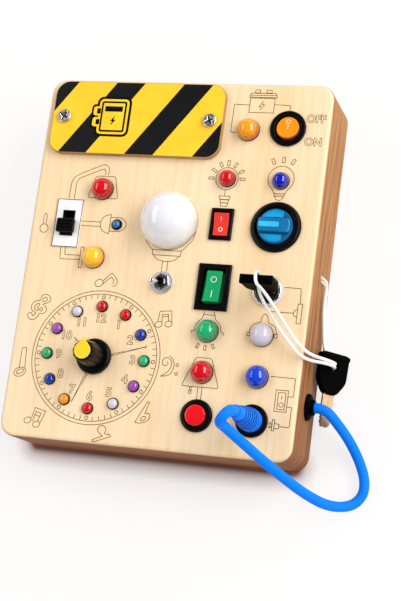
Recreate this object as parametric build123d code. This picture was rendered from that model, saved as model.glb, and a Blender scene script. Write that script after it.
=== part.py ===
from build123d import *
import math
import os

# Wooden busy board, lying on its back. Millimetres.
# X runs to the board's right, Y up the panel, Z out of the front panel.
# The origin is the centre of the back face, which lies on the floor.

# ---------- case ----------
BOARD_WIDTH = 194.0
BOARD_HEIGHT = 242.0
BOARD_DEPTH = 46.5
CORNER_RADIUS = 10.0
FRONT_EDGE_RADIUS = 2.5
FRONT_THICKNESS = 6.0
WALL = 12.0
INNER_CORNER_RADIUS = 4.0
BACK_THICKNESS = 4.0
REBATE = 6.0                 # width of the step that the back panel sits in
FIT = 0.2                    # gap round a fixed piece in its hole
SLIDE_GAP = 0.3              # gap round a piece that slides or tilts
RUNNING_GAP = 0.06           # radial gap of a turning shaft
MANY = 24                    # flat sides of a single turned piece
FEW = 16                     # flat sides of a small or repeated one
FACE = BOARD_DEPTH           # height of the front face
PANEL_BACK = FACE - FRONT_THICKNESS

# ---------- battery bay, under the striped cover ----------
COVER_WIDTH = BOARD_WIDTH - 75.5
COVER_HEIGHT = 50.0
COVER_MARGIN = 2.6           # cover to the top edge of the board
COVER_SIDE_MARGIN = 5.25     # cover to its left edge
COVER_THICKNESS = 4.0
COVER_CORNER = 9.5
COVER_BEVEL = 0.5
COVER_X = COVER_SIDE_MARGIN + COVER_WIDTH / 2 - BOARD_WIDTH / 2
COVER_Y = BOARD_HEIGHT / 2 - COVER_MARGIN - COVER_HEIGHT / 2
COVER_SCREW_SPACING = COVER_WIDTH - 17.5
COVER_SCREW_HEAD = 4.7
COVER_SCREW_HEAD_HEIGHT = 2.2
COVER_SCREW_SHANK = 1.9
CELL_RADIUS = 7.1
CELL_LENGTH = 50.0
CELL_GAP = 0.4
CONTACT_THICKNESS = 2.0
TRAY_WALL = 1.5
TRAY_MARGIN = 1.7            # tray to the inside of the case
TRAY_Y = BOARD_HEIGHT / 2 - WALL - TRAY_MARGIN - TRAY_WALL - 2 * CELL_RADIUS - 1.5 * CELL_GAP

# ---------- places of the controls on the front face ----------
# Columns keep their distance from a side, or a share of the width. Rows keep a share of the height.
WIDTH_UNIT = BOARD_WIDTH / 194
HEIGHT_UNIT = BOARD_HEIGHT / 242
LEFT_SIDE = -BOARD_WIDTH / 2
RIGHT_COLUMN = BOARD_WIDTH / 2 - 27.6
MIDDLE_COLUMN = RIGHT_COLUMN - 35.6 * WIDTH_UNIT
LAMP_COLUMN = MIDDLE_COLUMN - 34.3 * WIDTH_UNIT
ROW_LAMPS = 56.2 * HEIGHT_UNIT
ROW_SWITCHES = 26.0 * HEIGHT_UNIT
ROW_LEVERS = -15.2 * HEIGHT_UNIT
ROW_PENDANTS = -43.4 * HEIGHT_UNIT
ROW_SHADES = -69.6 * HEIGHT_UNIT
ROW_BOTTOM = -97.0 * HEIGHT_UNIT

# ---------- indicator lenses ----------
LENS_RADIUS = 7.4
SMALL_LENS_RADIUS = 5.7
LENS_COLLAR = 1.5
LENS_WINDOW_SHARE = 1.2      # side of the square light window over the lens radius
LENSES = [
    (RIGHT_COLUMN - 25.9, 89.2 * HEIGHT_UNIT, LENS_RADIUS),
    (RIGHT_COLUMN - 0.4, ROW_LAMPS, SMALL_LENS_RADIUS),
    (MIDDLE_COLUMN, ROW_LAMPS, SMALL_LENS_RADIUS),
    (LEFT_SIDE + 47.1, 45.4 * HEIGHT_UNIT, LENS_RADIUS),
    (LEFT_SIDE + 47.7, -0.8 * HEIGHT_UNIT, LENS_RADIUS),
    (MIDDLE_COLUMN, ROW_PENDANTS, LENS_RADIUS),
    (RIGHT_COLUMN - 0.2, ROW_PENDANTS, LENS_RADIUS),
    (MIDDLE_COLUMN, ROW_SHADES, LENS_RADIUS),
    (RIGHT_COLUMN, ROW_SHADES, LENS_RADIUS),
]
LAMP_RADIUS = 18.8
LAMP_COLLAR = 3.0
LAMP_HOLE = 12.0
LAMP_BOARD_SHARE = 2.3       # side of the lamp's board over the radius of its hole
LAMP_CHIP = (9.0, 2.0)       # side and height
BLUE_LED_X = LAMP_COLUMN - 36.2 * WIDTH_UNIT
BLUE_LED_Y = 22.0 * HEIGHT_UNIT
BLUE_LED_RADIUS = 2.6
BLUE_LED_HOLDER = 3.6
BLUE_LED_HOLDER_HEIGHT = 1.0
BLUE_LED_SHOULDER = 1.4      # heights over the front face: where its tip starts to narrow,
BLUE_LED_TIP = 3.2           # and where it ends
CIRCUIT_THICKNESS = 1.6
CHIP_SIDE = 4.0

# ---------- clock dial ----------
CLOCK_LED_CIRCLE = 33.1
CLOCK_LED_RADIUS = 3.8
CLOCK_LED_COLLAR = 1.6
CLOCK_LED_HEIGHT = 3.4
CLOCK_LED_STEM = 4.0         # square body in its window
HOURS = 12
CLOCK_BOARD_RADIUS = 39.0
CLOCK_BOARD_MARGIN = 7.7     # clock board to the inside of the case, at the left
CLOCK_BOARD_LIFT = 4.3       # and at the bottom
CLOCK_X = LEFT_SIDE + WALL + CLOCK_BOARD_MARGIN + CLOCK_BOARD_RADIUS
CLOCK_Y = WALL + CLOCK_BOARD_LIFT + CLOCK_BOARD_RADIUS - BOARD_HEIGHT / 2
KNOB_SKIRT_RADIUS = 11.6
KNOB_SKIRT_HEIGHT = 4.0
KNOB_BARREL_ROOT = 8.2
KNOB_BARREL_TOP = 6.7
KNOB_HEIGHT = 23.0           # top of the knob above the front face
KNOB_LIFT = 1.2
KNOB_SKIRT_STEP = 1.4        # how far the skirt narrows towards its top
KNOB_FLUTES = 12
KNOB_FLUTE = (1.6, 1.1)      # depth and width of the cutter
CLOCK_POINTER_THICKNESS = 0.8
CLOCK_POINTER_RADIUS = 5.4
CLOCK_POINTER_TIP = 1.2      # how far its tip reaches past the top of the barrel
CLOCK_SHAFT_RADIUS = 3.0
CLOCK_BUSHING_RADIUS = 4.7
CLOCK_BUSHING_RISE = 4.0
SELECTOR_SIZE = 24.0
SELECTOR_DEPTH = 11.0
SELECTOR_FLOOR = 2.0

# ---------- rocker switches ----------
ROCKER_TILT = 8.0            # degrees, each way
ROCKER_PIVOT_DEPTH = 1.0     # pivot below the front face
ROCKER_VALLEY = 2.7          # heights over the pivot: the middle of the rocker's top,
ROCKER_END = 3.4             # its two ends
ROCKER_FOOT = -4.0           # and its underside
BEZEL_HEIGHT = 2.0
BEZEL_BEVEL = 0.6
SWITCH_BODY_DEPTH = 21.0
AMBER_X = RIGHT_COLUMN
AMBER_Y = 91.0 * HEIGHT_UNIT
AMBER_BEZEL_RADIUS = 11.8
AMBER_BODY_RADIUS = 9.9
AMBER_WELL_RADIUS = 8.5
AMBER_ROCKER_RADIUS = 7.5
RED_BEZEL = (15.0, 21.0)
RED_BODY = (12.9, 18.8)
RED_WELL = (10.6, 16.8)
RED_ROCKER = (9.8, 14.6)
GREEN_BEZEL = (21.8, 30.2)
GREEN_BODY = (19.4, 27.4)
GREEN_WELL = (14.8, 23.4)
GREEN_ROCKER = (13.6, 20.6)
GREEN_ROCKER_TOP = 10.2      # width of the raised top of the green rocker
GREEN_ROCKER_SHOULDER = 2.2  # where its sloping sides meet the top, over the pivot
AMBER_ROCKER_FOOT = 0.8      # how far its sides draw in at the foot

# ---------- slide switch ----------
SLIDE_X = LEFT_SIDE + 26.2
SLIDE_Y = 21.3 * HEIGHT_UNIT
SLIDE_PLATE = (18.0, 32.3)
SLIDE_PLATE_THICKNESS = 1.0
SLIDE_SLOT = (9.0, 17.4)
SLIDE_NECK = (8.4, 8.7)
SLIDE_HEAD = (12.0, 9.2)
SLIDE_HEAD_HEIGHT = 4.4
SLIDE_HEAD_SHIFT = 1.6       # the head sits this far up the neck
SLIDE_BODY_DEPTH = 12.0
SLIDE_BODY_DROP = 1.5        # top of the body below the front face
SLIDE_GROOVE_DEPTH = 4.0
SLIDE_GROOVE_SHARE = 0.7     # width of its groove over that of the slot
SLIDE_NECK_RISE = 1.2        # neck above the plate
SLIDE_HEAD_BEVEL = 0.8

# ---------- blue rotary switch ----------
ROTARY_BEZEL_RADIUS = 16.5
ROTARY_BEZEL_HEIGHT = 3.0
ROTARY_WELL_RADIUS = 12.4
ROTARY_BODY_RADIUS = 14.0
ROTARY_KNOB_RADIUS = 11.6
ROTARY_KNOB_HEIGHT = 3.4
ROTARY_KNOB_DRAFT = 0.8
ROTARY_GRIP_WIDTH = 8.6
ROTARY_GRIP_RISE = 3.6
ROTARY_POINTER = (13.2, 3.6)
ROTARY_POINTER_THICKNESS = 0.6
ROTARY_POINTER_INSET = 2.0
ROTARY_SHAFT_RADIUS = 3.0
ROTARY_SHAFT_DEPTH = 15.0
ROTARY_BODY_DEPTH = 24.0
ROTARY_RIM = 1.2             # height of the bezel's outer wall
ROTARY_LIP = 0.8             # width of the bezel's inner lip

# ---------- toggle switch ----------
TOGGLE_Y = -14.3 * HEIGHT_UNIT
TOGGLE_TURN = 41.0           # the lever throws along this direction, from +X
TOGGLE_TILT = 13.0
TOGGLE_BUSHING_RADIUS = 3.1
TOGGLE_BUSHING_BORE = 2.5
TOGGLE_BUSHING_RISE = 5.2
TOGGLE_PIVOT_DEPTH = 4.0     # pivot below the bushing's mouth
TOGGLE_LEVER_RADIUS = 1.3
TOGGLE_TIP_RADIUS = 1.8
TOGGLE_LEVER_LENGTH = 14.5
TOGGLE_WASHER_RADIUS = 7.4
TOGGLE_WASHER_THICKNESS = 0.8
TOGGLE_NUT_FLATS = 10.6
TOGGLE_NUT_HEIGHT = 2.4
TOGGLE_NUT_TURN = 12.0
TOGGLE_BODY = (13.0, 8.0, 11.0)

# ---------- key switch ----------
LOCK_FLANGE_RADIUS = 10.3
LOCK_FLANGE_HEIGHT = 3.0
LOCK_FLANGE_TOP = 8.6
LOCK_BODY_RADIUS = 9.2
LOCK_BODY_DEPTH = 20.0
LOCK_BODY_FLOOR = 2.0
LOCK_RIM = 1.2               # height of the flange's outer wall
LOCK_NUT_THICKNESS = 3.0
LOCK_NUT_RIM = 2.6
LOCK_ROTOR_RADIUS = 7.2
LOCK_ROTOR_DROP = 0.9        # rotor face below the rim of the flange
KEY_BLADE_WIDTH = 8.0
KEY_BLADE_THICKNESS = 2.0
KEY_BLADE_LENGTH = 17.0
KEY_BLADE_TIP = 2.0
KEY_SLOT_GAP = 0.15
KEY_BOW_WIDTH = 20.6
KEY_BOW_HEIGHT = 27.0
KEY_BOW_THICKNESS = 5.0
KEY_BOW_NECK = 8.6
KEY_BOW_SHOULDER = 9.0       # height over which the bow widens
KEY_BOW_CORNER = 4.0
KEY_EYE_RADIUS = 2.4
KEY_EYE_DROP = 8.5           # eye below the top of the bow
KEY_STAND_OFF = 3.5          # bow above the rotor face

# ---------- push button ----------
BUTTON_BEZEL_RADIUS = 10.4
BUTTON_BEZEL_HEIGHT = 2.4
BUTTON_BODY_RADIUS = 8.0
BUTTON_BODY_DEPTH = 20.0
BUTTON_CAP_RADIUS = 6.7
BUTTON_CAP_RISE = 4.6        # top of the cap above the front face
BUTTON_CAP_DROP = 3.0        # foot of the cap below the front face
BUTTON_CAP_BEVEL = 0.8
BUTTON_RIM = 1.0             # height of the bezel's outer wall
BUTTON_TRAVEL = 2.4

# ---------- plug and socket ----------
SOCKET_BEZEL_RADIUS = 10.3
SOCKET_BODY_RADIUS = 7.6
SOCKET_BODY_DEPTH = 20.0
PLUG_PIN_RADIUS = 3.1
PLUG_PIN_LENGTH = 13.0
PLUG_LIFT = 0.4
PLUG_ROOT_RADIUS = 7.3
PLUG_ROOT_HEIGHT = 8.0
PLUG_RIB_COUNT = 5
PLUG_RIB_PITCH = 3.6
PLUG_RIB_GROOVE = 0.7
PLUG_SLEEVE_RADIUS = 4.4
PLUG_SLEEVE_DRAFT = 0.4
PLUG_SLEEVE_HEIGHT = 12.0
PLUG_LAST_RIB = 5.7

# ---------- cable outlet and side hole ----------
SIDE_HOLE_Z = 22.0
GLAND_Y = ROW_BOTTOM + 15.0
GLAND_FLANGE_RADIUS = 8.6
GLAND_FLANGE_THICKNESS = 2.6
GLAND_NOSE_RADIUS = 5.4
GLAND_NOSE_LENGTH = 2.4
GLAND_BODY_RADIUS = 6.0
GLAND_DRAFT = (1.2, 0.6)     # how far its flange and its nose narrow outwards
GLAND_TAIL = 3.0             # body past the inside of the wall
STRING_HOLE_Y = ROW_LEVERS + 16.6
STRING_HOLE_RADIUS = 3.0

# ---------- blue cord and white key string ----------
CORD_RADIUS = 3.25
STRING_RADIUS = 1.0

os.makedirs("parts", exist_ok=True)
UP = (Align.CENTER, Align.CENTER, Align.MIN)


def disc(x, y, z_low, z_high, radius):
    """A cylinder that stands along Z between two heights."""
    return Pos(x, y, z_low) * Cylinder(radius, z_high - z_low, align=UP)


def block(x, y, z_low, z_high, width, height):
    """A box centred on x, y between two heights."""
    return Pos(x, y, z_low) * Box(width, height, z_high - z_low, align=UP)


def slab(x, y, z_low, z_high, width, height, radius):
    """A plate with rounded corners."""
    return Pos(x, y, z_low) * extrude(RectangleRounded(width, height, radius), z_high - z_low)


def turned(x, y, outline, sides=MANY):
    """A turned piece about a Z axis with flat-sided rings, from (radius, height) points.

    A ring between two points of one radius is a prism, else a tapered one.
    Two points of one height make a step."""
    rings = []
    for (low_radius, low), (high_radius, high) in zip(outline, outline[1:]):
        if high > low:
            flat_low, flat_high = [r * math.cos(math.pi / sides) for r in (low_radius, high_radius)]
            taper = math.degrees(math.atan2(flat_low - flat_high, high - low))
            base = Pos(x, y, low) * RegularPolygon(low_radius, sides)
            rings.append(extrude(base, high - low, taper=taper))
    solid = rings[0]
    for ring in rings[1:]:
        solid += ring
    return solid


def dome_outline(radius, collar, z, rings):
    """Collar and dome as a few rings on one quarter circle."""
    outline = [(radius, z), (radius, z + collar)]
    for i in range(1, rings + 1):
        angle = math.radians(75.0 * i / rings)
        outline.append((radius * math.cos(angle), z + collar + radius * math.sin(angle)))
    return outline


def polar(x, y, radius, angle):
    """A point on a circle, angle in degrees from +X."""
    return x + radius * math.cos(math.radians(angle)), y + radius * math.sin(math.radians(angle))


# ---------- case ----------
def case_frame():
    frame = slab(0, 0, 0, PANEL_BACK, BOARD_WIDTH, BOARD_HEIGHT, CORNER_RADIUS)
    inner_width, inner_height = BOARD_WIDTH - 2 * WALL, BOARD_HEIGHT - 2 * WALL
    frame -= slab(0, 0, -1, PANEL_BACK + 1, inner_width, inner_height, INNER_CORNER_RADIUS)
    frame -= slab(0, 0, -1, BACK_THICKNESS, inner_width + 2 * REBATE, inner_height + 2 * REBATE,
                  INNER_CORNER_RADIUS)
    side = Plane(origin=(BOARD_WIDTH / 2 - WALL - 1, 0, 0), x_dir=(0, 1, 0), z_dir=(1, 0, 0))
    for y, radius in ((GLAND_Y, GLAND_BODY_RADIUS + FIT), (STRING_HOLE_Y, STRING_HOLE_RADIUS)):
        frame -= extrude(side * Pos(y, SIDE_HOLE_Z) * Circle(radius), WALL + 2)
    return frame


def back_panel():
    width = BOARD_WIDTH - 2 * WALL + 2 * REBATE - 2 * FIT
    height = BOARD_HEIGHT - 2 * WALL + 2 * REBATE - 2 * FIT
    return slab(0, 0, 0, BACK_THICKNESS, width, height, INNER_CORNER_RADIUS - FIT)


def panel_holes():
    """Everything that is cut through the front panel."""
    low, high = PANEL_BACK - 1, FACE + 1
    tray_length, tray_width = tray_inside()
    holes = [block(COVER_X, TRAY_Y, low, high, tray_length, tray_width)]
    for x, y in cover_screw_places():
        holes.append(turned(x, y, [(COVER_SCREW_SHANK, low), (COVER_SCREW_SHANK, high)], FEW))
    for x, y, radius in LENSES:
        side = radius * LENS_WINDOW_SHARE
        holes.append(block(x, y, low, high, side, side))
    for x, y in clock_led_places():
        side = CLOCK_LED_STEM + 2 * FIT
        holes.append(block(x, y, low, high, side, side))
    round_holes = [
        (LAMP_COLUMN, ROW_SWITCHES, LAMP_HOLE),
        (BLUE_LED_X, BLUE_LED_Y, BLUE_LED_RADIUS + FIT / 2),
        (CLOCK_X, CLOCK_Y, CLOCK_BUSHING_RADIUS + FIT),
        (AMBER_X, AMBER_Y, AMBER_BODY_RADIUS + FIT),
        (RIGHT_COLUMN, ROW_SWITCHES, ROTARY_BODY_RADIUS + FIT),
        (LAMP_COLUMN, TOGGLE_Y, TOGGLE_BUSHING_RADIUS + FIT),
        (RIGHT_COLUMN, ROW_LEVERS, LOCK_BODY_RADIUS + FIT),
        (MIDDLE_COLUMN, ROW_BOTTOM, BUTTON_BODY_RADIUS + FIT),
        (RIGHT_COLUMN, ROW_BOTTOM, SOCKET_BODY_RADIUS + FIT),
    ]
    for x, y, radius in round_holes:
        holes.append(turned(x, y, [(radius / math.cos(math.pi / FEW), low),
                                   (radius / math.cos(math.pi / FEW), high)], FEW))
    for y, (width, height) in ((ROW_SWITCHES, RED_BODY), (ROW_LEVERS, GREEN_BODY)):
        holes.append(block(MIDDLE_COLUMN, y, low, high, width + 2 * FIT, height + 2 * FIT))
    body_width, body_height = slide_body_size()
    holes.append(block(SLIDE_X, SLIDE_Y, low, high, body_width + 2 * FIT, body_height + 2 * FIT))
    return holes


def front_panel():
    panel = slab(0, 0, PANEL_BACK, FACE, BOARD_WIDTH, BOARD_HEIGHT, CORNER_RADIUS)
    panel = fillet(panel.faces().sort_by(Axis.Z)[-1].edges(), FRONT_EDGE_RADIUS)
    return panel - panel_holes()


# ---------- battery bay ----------
def tray_inside():
    return (CELL_LENGTH + 2 * CONTACT_THICKNESS + 2 * CELL_GAP,
            4 * CELL_RADIUS + 3 * CELL_GAP)


def cover_screw_places():
    return [(COVER_X + side * COVER_SCREW_SPACING / 2, COVER_Y) for side in (-1, 1)]


def cell_height():
    return PANEL_BACK - CELL_RADIUS - 1.5 * CELL_GAP


def battery_cover():
    cover = slab(COVER_X, COVER_Y, FACE, FACE + COVER_THICKNESS, COVER_WIDTH, COVER_HEIGHT, COVER_CORNER)
    cover = chamfer(cover.faces().sort_by(Axis.Z)[-1].edges(), COVER_BEVEL)
    for x, y in cover_screw_places():
        cover -= turned(x, y, [(COVER_SCREW_SHANK + FIT, FACE - 1),
                               (COVER_SCREW_SHANK + FIT, FACE + COVER_THICKNESS + 1)], FEW)
    return cover


def cover_screws():
    top = FACE + COVER_THICKNESS
    screws = []
    for x, y in cover_screw_places():
        screws.append(turned(x, y, [
            (COVER_SCREW_SHANK, PANEL_BACK), (COVER_SCREW_SHANK, top), (COVER_SCREW_HEAD, top),
            (COVER_SCREW_HEAD, top + 0.3 * COVER_SCREW_HEAD_HEIGHT),
            (0.55 * COVER_SCREW_HEAD, top + COVER_SCREW_HEAD_HEIGHT)], FEW))
    return screws


def battery_tray():
    length, width = tray_inside()
    floor = cell_height() - CELL_RADIUS - CELL_GAP
    tray = block(COVER_X, TRAY_Y, floor - TRAY_WALL, PANEL_BACK,
                 length + 2 * TRAY_WALL, width + 2 * TRAY_WALL)
    return tray - block(COVER_X, TRAY_Y, floor, PANEL_BACK + 1, length, width)


def battery_cells():
    cells = []
    for side in (-1, 1):
        y = TRAY_Y + side * (CELL_RADIUS + CELL_GAP / 2)
        lying = Rotation(0, 90, 0) * turned(0, 0, [
            (CELL_RADIUS, -CELL_LENGTH / 2), (CELL_RADIUS, CELL_LENGTH / 2)], FEW)
        cells.append(Pos(COVER_X, y, cell_height()) * lying)
    return cells


def battery_contacts():
    """A sprung plate at each end of each cell."""
    contacts = []
    for end in (-1, 1):
        x = COVER_X + end * (CELL_LENGTH / 2 + CELL_GAP + CONTACT_THICKNESS / 2)
        for side in (-1, 1):
            y = TRAY_Y + side * (CELL_RADIUS + CELL_GAP / 2)
            contacts.append(block(x, y, cell_height() - CELL_RADIUS, cell_height() + 0.6 * CELL_RADIUS,
                                  CONTACT_THICKNESS, 1.4 * CELL_RADIUS))
    return contacts


# ---------- lights ----------
def indicator_lenses():
    return [turned(x, y, dome_outline(radius, LENS_COLLAR, FACE, 3), FEW) for x, y, radius in LENSES]


def indicator_leds():
    """A small square lamp board behind each lens, glued to the back of the panel."""
    boards = []
    for x, y, radius in LENSES:
        side = 1.4 * radius * LENS_WINDOW_SHARE
        board = block(x, y, PANEL_BACK - CIRCUIT_THICKNESS, PANEL_BACK, side, side)
        chip = block(x, y, PANEL_BACK, PANEL_BACK + CIRCUIT_THICKNESS, CHIP_SIDE, CHIP_SIDE)
        boards.append(board + chip)
    return boards


def lamp_dome():
    return turned(LAMP_COLUMN, ROW_SWITCHES, dome_outline(LAMP_RADIUS, LAMP_COLLAR, FACE, 5))


def lamp_board():
    side = LAMP_BOARD_SHARE * LAMP_HOLE
    chip_side, chip_height = LAMP_CHIP
    board = block(LAMP_COLUMN, ROW_SWITCHES, PANEL_BACK - CIRCUIT_THICKNESS, PANEL_BACK, side, side)
    return board + block(LAMP_COLUMN, ROW_SWITCHES, PANEL_BACK, PANEL_BACK + chip_height,
                         chip_side, chip_side)


def blue_led_holder():
    top = FACE + BLUE_LED_HOLDER_HEIGHT
    rim = turned(BLUE_LED_X, BLUE_LED_Y, [(BLUE_LED_HOLDER, FACE), (BLUE_LED_HOLDER, top)], FEW)
    hole = [(BLUE_LED_RADIUS, FACE - 1), (BLUE_LED_RADIUS, top + 1)]
    return rim - turned(BLUE_LED_X, BLUE_LED_Y, hole, FEW)


def blue_led():
    return turned(BLUE_LED_X, BLUE_LED_Y, [
        (BLUE_LED_RADIUS, PANEL_BACK), (BLUE_LED_RADIUS, FACE + BLUE_LED_SHOULDER),
        (0.5 * BLUE_LED_RADIUS, FACE + BLUE_LED_TIP)], FEW)


# ---------- clock dial ----------
def clock_led_places():
    return [polar(CLOCK_X, CLOCK_Y, CLOCK_LED_CIRCLE, 90 - 360 * hour / HOURS) for hour in range(HOURS)]


def clock_leds():
    """Twelve lights, each a shallow dome on a square body that reaches the board behind."""
    leds = []
    for x, y in clock_led_places():
        dome = turned(x, y, [
            (CLOCK_LED_RADIUS, FACE), (CLOCK_LED_RADIUS, FACE + CLOCK_LED_COLLAR),
            (0.62 * CLOCK_LED_RADIUS, FACE + CLOCK_LED_HEIGHT)], FEW)
        leds.append(dome + block(x, y, PANEL_BACK, FACE + 0.1, CLOCK_LED_STEM, CLOCK_LED_STEM))
    return leds


def clock_board():
    top = PANEL_BACK
    low, window = top - CIRCUIT_THICKNESS, SELECTOR_SIZE + 2 * FIT
    board = turned(CLOCK_X, CLOCK_Y, [(CLOCK_BOARD_RADIUS, low), (CLOCK_BOARD_RADIUS, top)])
    return board - block(CLOCK_X, CLOCK_Y, low - 1, top + 1, window, window)


def selector_floor():
    return PANEL_BACK - SELECTOR_DEPTH + SELECTOR_FLOOR


def selector_housing():
    body = block(CLOCK_X, CLOCK_Y, PANEL_BACK - SELECTOR_DEPTH, PANEL_BACK, SELECTOR_SIZE, SELECTOR_SIZE)
    body += turned(CLOCK_X, CLOCK_Y, [(CLOCK_BUSHING_RADIUS, PANEL_BACK - 1),
                                      (CLOCK_BUSHING_RADIUS, FACE + CLOCK_BUSHING_RISE)], FEW)
    return body - disc(CLOCK_X, CLOCK_Y, selector_floor(), FACE + CLOCK_BUSHING_RISE + 1,
                       CLOCK_SHAFT_RADIUS + RUNNING_GAP)


def clock_shaft():
    return disc(CLOCK_X, CLOCK_Y, selector_floor() + SLIDE_GAP, FACE + 0.7 * KNOB_HEIGHT, CLOCK_SHAFT_RADIUS)


def clock_knob():
    low, top = FACE + KNOB_LIFT, FACE + KNOB_HEIGHT
    knob = turned(CLOCK_X, CLOCK_Y, [
        (KNOB_SKIRT_RADIUS, low), (KNOB_SKIRT_RADIUS, low + 0.6 * KNOB_SKIRT_HEIGHT),
        (KNOB_SKIRT_RADIUS - KNOB_SKIRT_STEP, low + KNOB_SKIRT_HEIGHT),
        (KNOB_BARREL_ROOT, low + KNOB_SKIRT_HEIGHT),
        (KNOB_BARREL_TOP, top)])
    hub_room = CLOCK_BUSHING_RADIUS + SLIDE_GAP + FIT
    knob -= turned(CLOCK_X, CLOCK_Y, [(hub_room, FACE), (hub_room, FACE + CLOCK_BUSHING_RISE + SLIDE_GAP)])
    knob -= clock_shaft()
    flutes = []
    for i in range(KNOB_FLUTES):
        angle = 90 + 360 * (i + 0.5) / KNOB_FLUTES
        x, y = polar(CLOCK_X, CLOCK_Y, KNOB_BARREL_ROOT + SLIDE_GAP, angle)
        flutes.append(Pos(x, y, low + KNOB_SKIRT_HEIGHT) * Rotation(0, 0, angle) *
                      Box(*KNOB_FLUTE, KNOB_HEIGHT, align=UP))
    return knob - flutes


def clock_pointer():
    """Teardrop cap on top of the knob, its tip towards twelve."""
    top = FACE + KNOB_HEIGHT
    tip = (0, KNOB_BARREL_TOP + CLOCK_POINTER_TIP)
    radius = CLOCK_POINTER_RADIUS
    half = math.degrees(math.acos(radius / tip[1]))
    left = (radius * math.cos(math.radians(90 + half)), radius * math.sin(math.radians(90 + half)))
    right = (-left[0], left[1])
    outline = [Line(tip, left), ThreePointArc(left, (0, -radius), right), Line(right, tip)]
    return Pos(CLOCK_X, CLOCK_Y, top) * extrude(make_face(outline), CLOCK_POINTER_THICKNESS)


# ---------- rocker switches ----------
def rocker_pivot():
    return FACE - ROCKER_PIVOT_DEPTH


def rocker(x, y, width, top_width, length, tilt):
    """A rocker that turns about X: drum ends, a shallow V on top, tapered sides."""
    half, valley, end, low = length / 2, ROCKER_VALLEY, ROCKER_END, ROCKER_FOOT
    radius = math.hypot(half, end)
    foot = math.sqrt(radius ** 2 - low ** 2)
    lines = [
        Line((-half, end), (0, valley)), Line((0, valley), (half, end)),
        ThreePointArc((half, end), (radius, 0), (foot, low)), Line((foot, low), (-foot, low)),
        ThreePointArc((-foot, low), (-radius, 0), (-half, end)),
    ]
    side = Plane(origin=(-width / 2, 0, 0), x_dir=(0, 1, 0), z_dir=(1, 0, 0))
    body = extrude(side * make_face(lines), width)
    if top_width < width:
        shoulder, over = GREEN_ROCKER_SHOULDER, 2 * ROCKER_END
        across = Polyline((-width / 2, low - 1), (-width / 2, 0), (-top_width / 2, shoulder),
                          (-top_width / 2, over), (top_width / 2, over), (top_width / 2, shoulder),
                          (width / 2, 0), (width / 2, low - 1), close=True)
        body = body & extrude(Plane.XZ * make_face(across), length, both=True)
    return Pos(x, y, rocker_pivot()) * Rotation(tilt, 0, 0) * body


def rocker_well_depth(length):
    """How far below the pivot the tilted foot reaches, with a gap."""
    foot = math.sqrt((length / 2) ** 2 + ROCKER_END ** 2 - ROCKER_FOOT ** 2)
    tilt = math.radians(ROCKER_TILT)
    return -ROCKER_FOOT * math.cos(tilt) + foot * math.sin(tilt) + SLIDE_GAP


def rocker_housing(x, y, bezel, body, well, rocker_length):
    housing = block(x, y, FACE, FACE + BEZEL_HEIGHT, *bezel)
    housing = chamfer(housing.faces().sort_by(Axis.Z)[-1].edges(), BEZEL_BEVEL)
    housing += block(x, y, FACE - SWITCH_BODY_DEPTH, FACE + 0.5, body[0], body[1])
    floor = rocker_pivot() - rocker_well_depth(rocker_length)
    return housing - block(x, y, floor, FACE + BEZEL_HEIGHT + 1, well[0], well[1])


def amber_housing():
    x, y = AMBER_X, AMBER_Y
    housing = turned(x, y, [
        (AMBER_BODY_RADIUS, FACE - SWITCH_BODY_DEPTH), (AMBER_BODY_RADIUS, FACE),
        (AMBER_BEZEL_RADIUS, FACE),
        (AMBER_BEZEL_RADIUS, FACE + BEZEL_HEIGHT - BEZEL_BEVEL),
        (AMBER_BEZEL_RADIUS - BEZEL_BEVEL, FACE + BEZEL_HEIGHT)])
    floor = rocker_pivot() - rocker_well_depth(2 * AMBER_ROCKER_RADIUS)
    return housing - turned(x, y, [(AMBER_WELL_RADIUS, floor), (AMBER_WELL_RADIUS, FACE + BEZEL_HEIGHT + 1)])


def amber_rocker():
    """A round rocker with the same shallow V on top."""
    half = AMBER_ROCKER_RADIUS
    foot = half - AMBER_ROCKER_FOOT
    profile = Polyline((-half, ROCKER_END), (0, ROCKER_VALLEY), (half, ROCKER_END), (half, 0),
                       (foot, ROCKER_FOOT), (-foot, ROCKER_FOOT), (-half, 0), close=True)
    side = Plane(origin=(-half, 0, 0), x_dir=(0, 1, 0), z_dir=(1, 0, 0))
    round_off = turned(0, 0, [(half, 2 * ROCKER_FOOT), (half, 2 * half)])
    body = extrude(side * make_face(profile), 2 * half) & round_off
    return Pos(AMBER_X, AMBER_Y, rocker_pivot()) * Rotation(-ROCKER_TILT, 0, 0) * body


# ---------- slide switch ----------
def slide_body_size():
    return SLIDE_SLOT[0] + 2.0, SLIDE_SLOT[1] + 3.0


def slide_groove():
    return SLIDE_GROOVE_SHARE * SLIDE_SLOT[0]


def slide_plate():
    plate = block(SLIDE_X, SLIDE_Y, FACE, FACE + SLIDE_PLATE_THICKNESS, *SLIDE_PLATE)
    return plate - block(SLIDE_X, SLIDE_Y, FACE - 1, FACE + 3, *SLIDE_SLOT)


def slide_housing():
    top = FACE - SLIDE_BODY_DROP
    width, height = slide_body_size()
    housing = block(SLIDE_X, SLIDE_Y, FACE - SLIDE_BODY_DEPTH, top, width, height)
    return housing - block(SLIDE_X, SLIDE_Y, top - SLIDE_GROOVE_DEPTH, top + 1, slide_groove(), SLIDE_SLOT[1])


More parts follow.
